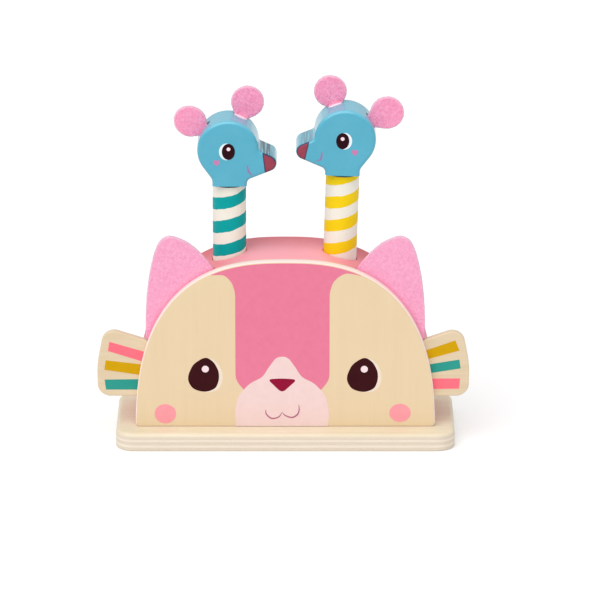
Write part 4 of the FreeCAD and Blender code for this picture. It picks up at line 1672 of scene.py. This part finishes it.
@dataclass
class MouseEar:
    """Felt mouse ear: a disc with a tab that goes into the head's slot."""

    stand: Stand
    place: EarPlace
    felt: Felt = field(default_factory=Felt)
    skull: Place = (-0.6, 24.3)
    skull_radius: float = 20.2
    tab_half: float = 4.75
    tab_end: float = 3.9
    lift: float = 0.05
    rings: int = 30
    arc_count: int = 150
    tab_count: int = 18
    mark_count: int = 25
    gap_overlap: float = 1.5
    gap_margin: float = 0.2
    fibre_count: int = 1500
    seeds: dict[str, int] = field(default_factory=lambda: {"front": 61, "rear": 67})
    right_seed: int = 30

    def outline(self) -> Array:
        """The disc's arc, two tangents from it to the tab, and the tab's sides and end.

        The ear's middle is its origin and its tab points down. With the tab's half width h, its
        corners where it leaves the skull at depth d below the middle, q = h^2 + d^2 and
        t = sqrt(q - r^2), the tangent from (h, -d) touches the disc at
        (r (r h + t d) / q, -r (r d - t h) / q).

        Returns:
            Array of (n, 2) places in the ear's own (x, z), anticlockwise from the front.
        """
        half, radius, distance = self.tab_half, self.place.radius, self.place.distance
        drop = distance - math.sqrt(self.skull_radius**2 - half**2)
        low = -(distance - self.skull_radius + self.tab_end)
        square = half**2 + drop**2
        slide = math.sqrt(max(square - radius**2, 0))
        touch = np.array([radius * half + slide * drop, slide * half - radius * drop]) * radius / square
        first = math.atan2(touch[1], touch[0])
        angle = np.linspace(first, math.pi - first, self.arc_count)
        arc = radius * np.stack([np.cos(angle), np.sin(angle)], axis=-1)
        arc[:, 1] *= np.where(arc[:, 1] > 0, self.place.draw_out, 1.0)
        foot, end = np.array([-half, -drop]), np.array([-half, low])
        share = np.linspace(0, 1, 9)[1:, None]
        left = np.vstack([arc[-1] + (foot - arc[-1]) * share, foot + (end - foot) * share])
        steps = np.linspace(-half, half, self.tab_count)[1:-1]
        across = np.stack([steps, np.full(len(steps), low)], axis=-1)
        return np.vstack([arc, left, across, (left * np.array([-1, 1]))[::-1]])

    def build(self, finish: Material) -> None:
        """Build the disc, roughen it and lay fibres on it.

        Rings run from the front's middle out to the rim, over its rounding and back to the
        middle behind. Round the rim at angle a the inset is r (1 - sin a) and the depth r (1 - cos a).

        Args:
            finish: The felt.
        """
        outline, rim, thick = self.outline(), self.felt.rim, self.felt.thickness
        name = f"{self.stand.side}_mouse_{self.place.name}_ear"
        inner = outline - outward(outline) * rim
        front = limits(name)[0][1] - self.stand.neck[1]
        disc = ringed(inner, (0.0, 0.0), self.rings)
        angle = np.linspace(0, math.pi / 2, 5)[1:]
        normal = outward(outline)[:, None]
        inset = (rim * (1 - np.sin(angle)))[None, :, None]
        sink = np.broadcast_to(rim * (1 - np.cos(angle)), (len(outline), len(angle)))
        turned = outline[:, None] - normal * inset
        face = np.concatenate([upright(disc, front), upright(turned, front + sink)], axis=1)
        behind = face * np.array([1, -1, 1]) + np.array([0, 2 * front + thick, 0])
        sheet = np.concatenate([face, behind[:, ::-1]], axis=1)
        lean = math.radians(self.place.lean)
        up = np.array([math.sin(lean), 0.0, math.cos(lean)])
        side = np.array([math.cos(lean), 0.0, -math.sin(lean)])
        middle = np.array([self.skull[0], 0.0, self.skull[1]]) + up * self.place.distance
        depth = np.array([0.0, 1.0, 0.0])
        local = middle + sheet[..., :1] * side + sheet[..., 1:2] * depth + sheet[..., 2:] * up
        placed = self.stand.world(local)
        if self.stand.look < 0:
            placed = placed[::-1]
        seed = self.seeds[self.place.name] + (0 if self.stand.look > 0 else self.right_seed)
        placed = self.felt.roughened(placed, True, seed)
        tone = self.felt.rim_tone(placed.shape[:2], self.rings + 1)
        shape = Shape()
        shape.patch(placed, wrap_u=True, tone=tone)
        self.felt.fibres(shape, placed, True, self.fibre_count, seed + 5)
        piece, body = f"{self.stand.side}_felt_{self.place.name}_ear", f"{self.stand.side}_mouse"
        add_piece(shape, piece, body, finish, 180.0, stands_for=(name,))

    def strip(self, leans: Array, near: Array, far: Array) -> Shape:
        """Thin film on the skull's round top, between two depths that change with the lean.

        At lean a the surface lies at the skull's middle plus its radius times (sin a, cos a).

        Args:
            leans: Leans from upright towards the snout, in degrees.
            near: Depth of the film's front edge at each lean.
            far: Depth of its back edge at each lean.

        Returns:
            The film.
        """
        lean = np.radians(leans)[:, None]
        depth = near[:, None] + (far - near)[:, None] * np.linspace(0, 1, 5)[None, :]
        radius = self.skull_radius + self.lift
        across, up = self.skull[0] + radius * np.sin(lean), self.skull[1] + radius * np.cos(lean)
        placed = self.stand.world(np.stack(np.broadcast_arrays(across, depth, up), axis=-1))
        if self.stand.look < 0:
            placed = placed[:, ::-1]
        shape = Shape()
        shape.sheet(placed, FILM_WALL)
        return shape

    def mark_foot(self, lip: Material, gap: Material) -> None:
        """Lay the strip of paint in front of the foot, and a painted shadow at the slot's open end where
        there is one.

        The strip's width is its widest times the square root of sine over its length.

        Args:
            lip: The strip's paint.
            gap: The dark of the painted shadow at the slot's open end.
        """
        side, name, body = self.stand.side, self.place.name, f"{self.stand.side}_mouse"
        front = limits(f"{side}_mouse_{name}_ear")[0][1] - self.stand.neck[1]
        half = math.degrees(math.asin(self.tab_half / self.skull_radius))
        leans = self.place.lean + np.linspace(-half, half, self.mark_count)
        width = self.place.lip * taper(self.mark_count)
        far = np.full(self.mark_count, front)
        mark = self.strip(leans, far - width, far)
        add_piece(mark, f"{side}_{name}_ear_lip", body, lip)
        # Painted shadow: a dark film where the slot opens beside the ear.
        if self.place.gap > 0:
            reach = half + math.degrees(self.place.gap / self.skull_radius)
            leans = self.place.lean + np.linspace(half - self.gap_overlap, reach, 9)
            near = np.full(len(leans), front - self.gap_margin)
            slot_shadow_film = self.strip(leans, near, near + self.felt.thickness + 2 * self.gap_margin)
            add_piece(slot_shadow_film, f"{side}_{name}_ear_slot_end", body, gap)


# ---- Fins ---------------------------------------------------------------------------------------
@dataclass
class FinStripes:
    """Three painted stripes on the front of each fin, fanned out from the body."""

    front: float = limits("left_fin_board")[0][1]
    lift: float = 0.05
    left: tuple[tuple[str, Places], ...] = (
        ("coral", ((-116.4, 69.6), (-117.4, 63.1), (-92.4, 62.3), (-93.0, 55.2))),
        ("mustard", ((-118.9, 56.6), (-119.9, 49.9), (-94.4, 53.6), (-95.5, 46.2))),
        ("teal", ((-119.8, 43.0), (-119.0, 36.0), (-96.5, 43.3), (-97.5, 36.0))),
    )
    right: tuple[tuple[str, Places], ...] = (
        ("mustard", ((112.4, 70.5), (115.2, 63.4), (92.5, 63.4), (94.3, 57.4))),
        ("teal", ((115.2, 57.1), (116.1, 50.9), (94.4, 53.6), (95.6, 47.5))),
        ("coral", ((115.9, 43.9), (115.1, 36.6), (96.2, 43.7), (97.2, 36.4))),
    )

    def build(self, paints: dict[str, Material]) -> None:
        """Lay each stripe as a flat grid between its four corners.

        Args:
            paints: The stripes' paints, by name.
        """
        for side, stripes in zip(SIDES, (self.left, self.right)):
            for key, corners in stripes:
                outer_top, outer_low, inner_top, inner_low = (np.array(c) for c in corners)
                across = np.linspace(0, 1, 13)[:, None, None]
                down = np.linspace(0, 1, 5)[None, :, None]
                top = outer_top + (inner_top - outer_top) * across
                low = outer_low + (inner_low - outer_low) * across
                flat = top + (low - top) * down
                if side == "left":
                    flat = flat[:, ::-1]
                shape = Shape()
                shape.sheet(upright(flat, self.front - self.lift), FILM_WALL)
                add_piece(shape, f"{side}_fin_stripe_{key}", "housing", paints[key])


# ---- The toy ------------------------------------------------------------------------------------
@dataclass(frozen=True)
class Board:
    """One of the body's upright plywood boards: its face, its layers and its edges' two tones.

    Each layer behind the first one starts at a distance behind the board's front, or, where the
    distance is below 0, in front of its back.
    """

    nodes: tuple[str, ...]
    face: WoodFinish
    layers: tuple[float, ...]
    edge_pale: Colour
    edge_dark: Colour
    glue: float = 0.35

    def dress(self) -> None:
        """Give the board's nodes one plywood finish between its own front and back."""
        front, back = (corner[1] for corner in limits(self.nodes[0]))
        layers = tuple((front if v > 0 else back) + v for v in self.layers)
        finish = PlyFinish(self.face, "Y", front, back, layers, self.edge_pale, self.edge_dark, self.glue)
        material = finish.material()
        for node in self.nodes:
            dress_node(node, material)


@dataclass
class Housing:
    """Base board, body, fins and the pieces inside."""

    base: WoodFinish = WoodFinish("base_board_wood", (234, 222, 197), (221, 206, 177), soft=0.6)
    base_layers: tuple[float, ...] = (0.6, 2.5, 4.4, 6.4, 8.3, 10.2)
    base_edges: tuple[Colour, Colour] = ((240, 229, 211), (216, 202, 182))
    boards: tuple[Board, ...] = (
        Board(
            ("front_panel",),
            WoodFinish("front_panel_wood", (234, 211, 173), (228, 203, 165), Grain.ALONG_Z, 0.95),
            (0.1, 2.3, 3.7, 5.1), (255, 233, 226), (253, 229, 221), 0.06,
        ),
        Board(
            ("back_panel",),
            WoodFinish("back_panel_wood", (238, 214, 178), (224, 196, 156), Grain.ALONG_Z, 0.55),
            (0.9, 2.3, 3.7, 5.3), (248, 230, 205), (228, 205, 176),
        ),
        Board(
            ("left_fin_board", "right_fin_board"),
            WoodFinish("fin_wood", (231, 211, 180), (217, 195, 159), soft=0.6),
            (1.0, 2.0, 3.0, -1.0), (240, 224, 198), (212, 192, 162),
        ),
    )
    # The cover's pink carries painted shade, darker towards its back and towards its sides.
    cover: PaintFinish = PaintFinish(
        "cover_pink_paint_and_painted_shade", (255, 169, 180), (254, 163, 175), gloss=0.4, back_painted_shade=(228, 172, 178),
        back_from=-3.0, back_to=28.0, side_painted_shade=(240, 211, 211), side_from=26.0, side_to=44.0,
    )
    inner: WoodFinish = WoodFinish(
        "inner_wood", (226, 200, 160), (206, 174, 130), soft=0.7, roughness=0.6, coat=0.0,
    )
    turned: WoodFinish = WoodFinish(
        "turned_wood", (230, 204, 164), (212, 180, 136), Grain.ALONG_Z, 0.6, roughness=0.55, coat=0.0,
    )
    wire: SteelFinish = SteelFinish("spring_wire_steel", (150, 150, 152))
    zinc: SteelFinish = SteelFinish("screw_zinc", (170, 166, 156), 0.38)

    def build(self) -> None:
        """Dress every still node, and the feet and pins that ride with the mice."""
        top = limits("base_board")[1][2]
        base = PlyFinish(self.base, "Z", 0.0, top, self.base_layers, *self.base_edges)
        dress_node("base_board", base.material())
        for board in self.boards:
            board.dress()
        dress_node("arch_cover", self.cover.material())
        inner, turned, wire, zinc = (
            finish.material() for finish in (self.inner, self.turned, self.wire, self.zinc)
        )
        dress_node("stop_board", inner)
        dress_node("stop_board_dowels", turned)
        dress_node("base_screws", zinc)
        inside = {
            "side_block": inner, "guide_tube": inner, "spring_seat": turned, "spring": wire,
            "spring_cap": turned, "foot_disc": turned, "foot_screw": zinc, "neck_pin": turned,
        }
        for side, (name, material) in itertools.product(SIDES, inside.items()):
            dress_node(f"{side}_{name}", material)


@dataclass
class Mice:
    """Both mice on their pegs.

    A spiral is the height of the stripe's middle, its pitch and the turn that it starts at. The
    bridge is the place between the saw marks, in the head's own frame.
    """

    faces: dict[str, MouseFace] = field(default_factory=lambda: {
        "left": MouseFace(
            eye=(-0.3, 23.9), glint_shift=(0.1, 1.8), cheek=(-8.2, 16.4),
            smile=((12.2, 14.9), (12.5, 11.9), (13.5, 9.5), (15.6, 7.6)),
            nose_cut=((22.0, 22.8), (23.4, 10.8)),
        ),
        "right": MouseFace(
            eye=(1.0, 23.9), glint_shift=(0.1, 1.5), cheek=(-7.2, 16.4),
            smile=((14.4, 16.4), (14.5, 13.2), (15.1, 11.0), (17.6, 9.6)),
            nose_cut=((22.9, 22.2), (25.1, 11.0)),
        ),
    })
    spirals: dict[str, tuple[float, float, float]] = field(
        default_factory=lambda: {"left": (146.3, 16.3, -9.0), "right": (146.8, 16.0, -1.66)}
    )
    bridge: tuple[float, float, float] = (24.4, 0.0, 24.0)
    bridge_reach: float = 5.2
    bridge_marks: dict[str, float] = field(default_factory=lambda: {"left": 1.0, "right": 0.55})
    peg_paint: PaintFinish = PaintFinish(
        "peg_cream_paint", (243, 239, 227), (237, 232, 217), grain=Grain.ALONG_Z,
    )
    ears: dict[str, tuple[EarPlace, ...]] = field(default_factory=lambda: {
        "left": (
            EarPlace("front", 24.8, 30.3, 10.75, lip=5.4),
            EarPlace("rear", -56.1, 29.5, 10.2, draw_out=1.12, lip=1.3, gap=2.2),
        ),
        "right": (
            EarPlace("front", 21.2, 29.1, 10.7, lip=4.6),
            EarPlace("rear", -59.3, 31.6, 10.9, lip=1.0, gap=1.6),
        ),
    })

    def build(self) -> None:
        """Dress and paint each mouse and give it its felt ears."""
        cream = self.peg_paint.material()
        stands = {side: Stand(side) for side in SIDES}
        blue = {}
        for side, stand in stands.items():
            middle, marks = stand.world(np.array(self.bridge))[0], self.bridge_marks[side]
            finish = HeadFinish(f"{side}_mouse_blue_paint", middle, self.bridge_reach, marks)
            blue[side] = finish.material()
        felt = FeltFinish("mouse_ear_felt", (255, 184, 213), (254, 158, 196), (238, 122, 168)).material()
        stripes = {
            "left": PaintFinish("stripe_teal_paint", (0, 164, 162), (2, 156, 156), gloss=0.1),
            "right": PaintFinish("stripe_yellow_paint", (246, 212, 22), (240, 202, 10), gloss=0.1),
        }
        inks = {
            "white": PrintFinish("mouse_eye_white", (240, 246, 250), (228, 238, 245)),
            "dark": PrintFinish("mouse_eye_plum", (46, 6, 18), (38, 4, 14), 0.4, 0.1),
            "glint": PrintFinish("mouse_glint", (253, 228, 234), (250, 222, 229)),
            "cheek": PrintFinish("mouse_cheek_pink", (198, 128, 176), (188, 124, 172)),
            "line": PrintFinish("mouse_nose_line", (74, 58, 88), (66, 52, 82)),
            # Dark ink for painted shadows: under each head at its peg, and at the ears' slot ends.
            "painted_shadow": PrintFinish("mouse_neck_painted_shadow", (36, 74, 88), (30, 66, 80)),
            "front_lip": PrintFinish("ear_slot_white", (252, 238, 242), (246, 226, 234)),
            # The rear ears' strip is a darker pink copy of the pale strip: painted shade.
            "rear_lip": PrintFinish("ear_slot_lip_painted_shade", (206, 158, 188), (198, 150, 182)),
            "nose": PrintFinish("mouse_nose_crimson", (156, 60, 80), (146, 52, 72)),
            "smile": PrintFinish("mouse_smile_mauve", (152, 124, 172), (144, 120, 168)),
        }
        paints = {key: finish.material() for key, finish in inks.items()}
        for side, stand in stands.items():
            height, pitch, first_turn = self.spirals[side]
            Peg(stand, height, pitch, stripes[side], first_turn=first_turn).build(cream)
            front = limits(f"{side}_mouse_head")[0][1] - stand.neck[1]
            MouseHead(stand, self.faces[side], front).build(blue[side], paints)
            for place in self.ears[side]:
                ear = MouseEar(stand, place)
                ear.build(felt)
                ear.mark_foot(paints[f"{place.name}_lip"], paints["painted_shadow"])


# ---- Stage --------------------------------------------------------------------------------------
@dataclass
class Studio:
    """Pale floor, even light all round, one soft lamp and the camera."""

    elevation: float = 19.0
    camera_place: tuple[float, float, float] = (0.0097, -3.1233, 1.1670)
    focal_pixels: float = 4977.0
    image_pixels: float = 600.0
    world_level: float = 0.62
    sun_level: float = 1.83
    sun_spread: float = 65.0
    sun_from: tuple[float, float, float] = (-0.25, -0.49, 0.835)
    floor_reach: float = 6.0
    floor_bounce: float = 0.86
    floor_shade: float = 0.72
    floor_glow: float = 0.29
    sensor_width: float = 36.0
    clip: tuple[float, float] = (0.05, 50.0)

    def shader(
        self, tree: bpy.types.NodeTree, kind: str, shade: float, strength: float | None = None,
    ) -> Socket:
        """Add a plain grey or white shader.

        Args:
            tree: The node tree.
            kind: The shader node's type.
            shade: Its grey, 0 to 1.
            strength: Its strength, where it gives light.

        Returns:
            The shader socket.
        """
        node = tree.nodes.new(kind)
        node.inputs["Color"].default_value = (shade, shade, shade, 1)
        if strength is not None:
            node.inputs["Strength"].default_value = strength
        return node.outputs[0]

    def choose(self, tree: bpy.types.NodeTree, kind: str, others: Socket, seen: Socket) -> None:
        """Show one shader to the camera and another to all other rays.

        Args:
            tree: The node tree.
            kind: The output node's type.
            others: What light that bounces meets.
            seen: What the camera sees.
        """
        output = tree.nodes.new(kind)
        choose = tree.nodes.new("ShaderNodeMixShader")
        rays = tree.nodes.new("ShaderNodeLightPath")
        tree.links.new(rays.outputs["Is Camera Ray"], choose.inputs[0])
        tree.links.new(others, choose.inputs[1])
        tree.links.new(seen, choose.inputs[2])
        tree.links.new(choose.outputs[0], output.inputs["Surface"])

    def floor(self) -> None:
        """Lay a broad pale floor that shows white to the camera and keeps soft shadows."""
        mesh = bpy.data.meshes.new("floor")
        signs = ((-1, -1), (1, -1), (1, 1), (-1, 1))
        corners = [(x * self.floor_reach, y * self.floor_reach, 0) for x, y in signs]
        mesh.from_pydata(corners, [], [(0, 1, 2, 3)])
        plane = bpy.data.objects.new("floor", mesh)
        bpy.context.scene.collection.objects.link(plane)
        material = bpy.data.materials.new("floor_paper")
        material.use_nodes = True
        tree = material.node_tree
        tree.nodes.clear()
        diffuse = self.shader(tree, "ShaderNodeBsdfDiffuse", self.floor_bounce)
        both = tree.nodes.new("ShaderNodeAddShader")
        tree.links.new(self.shader(tree, "ShaderNodeBsdfDiffuse", self.floor_shade), both.inputs[0])
        tree.links.new(self.shader(tree, "ShaderNodeEmission", 1, self.floor_glow), both.inputs[1])
        self.choose(tree, "ShaderNodeOutputMaterial", diffuse, both.outputs[0])
        mesh.materials.append(material)

    def world(self) -> None:
        """Even white light all round, and plain white where the camera sees past the floor."""
        world = bpy.data.worlds.new("studio")
        bpy.context.scene.world = world
        world.use_nodes = True
        tree = world.node_tree
        tree.nodes.clear()
        soft = self.shader(tree, "ShaderNodeBackground", 1, self.world_level)
        self.choose(tree, "ShaderNodeOutputWorld", soft, self.shader(tree, "ShaderNodeBackground", 1, 1.0))

    def sun(self) -> None:
        """One broad soft lamp, far off to the upper left in front of the toy."""
        data = bpy.data.lights.new("softbox", "SUN")
        data.energy = self.sun_level
        data.angle = math.radians(self.sun_spread)
        lamp = bpy.data.objects.new("softbox", data)
        bpy.context.scene.collection.objects.link(lamp)
        lamp.rotation_mode = "QUATERNION"
        lamp.rotation_quaternion = Vector(self.sun_from).to_track_quat("Z", "Y")

    def camera(self) -> None:
        """Stand the camera in front, looking down by its elevation."""
        data = bpy.data.cameras.new("camera")
        data.sensor_width = self.sensor_width
        data.lens = self.focal_pixels * data.sensor_width / self.image_pixels
        data.clip_start, data.clip_end = self.clip
        camera = bpy.data.objects.new("camera", data)
        bpy.context.scene.collection.objects.link(camera)
        camera.location = self.camera_place
        camera.rotation_euler = (math.radians(90 - self.elevation), 0, 0)
        bpy.context.scene.camera = camera

    def build(self) -> None:
        """Set the stage."""
        self.floor()
        self.world()
        self.sun()
        self.camera()
        bpy.context.scene.view_settings.view_transform = "Standard"


def main() -> None:
    """Build the toy's pieces in order."""
    logging.basicConfig(level=logging.INFO, format="%(message)s")
    Housing().build()
    CatFace().build()
    felt = FeltFinish("cat_ear_felt", (255, 187, 214), (249, 166, 201), (238, 144, 186)).material()
    for side in SIDES:
        CatEar(side).build(felt)
    stripes = {
        "coral": PaintFinish("fin_coral_paint", (253, 119, 135), (249, 111, 129), gloss=0.12).material(),
        "mustard": PaintFinish("fin_mustard_paint", (214, 166, 2), (206, 158, 0), gloss=0.1).material(),
        "teal": PaintFinish("fin_teal_paint", (50, 158, 144), (42, 150, 138), gloss=0.1).material(),
    }
    FinStripes().build(stripes)
    Mice().build()
    Studio().build()


if __name__ == "__main__":
    main()
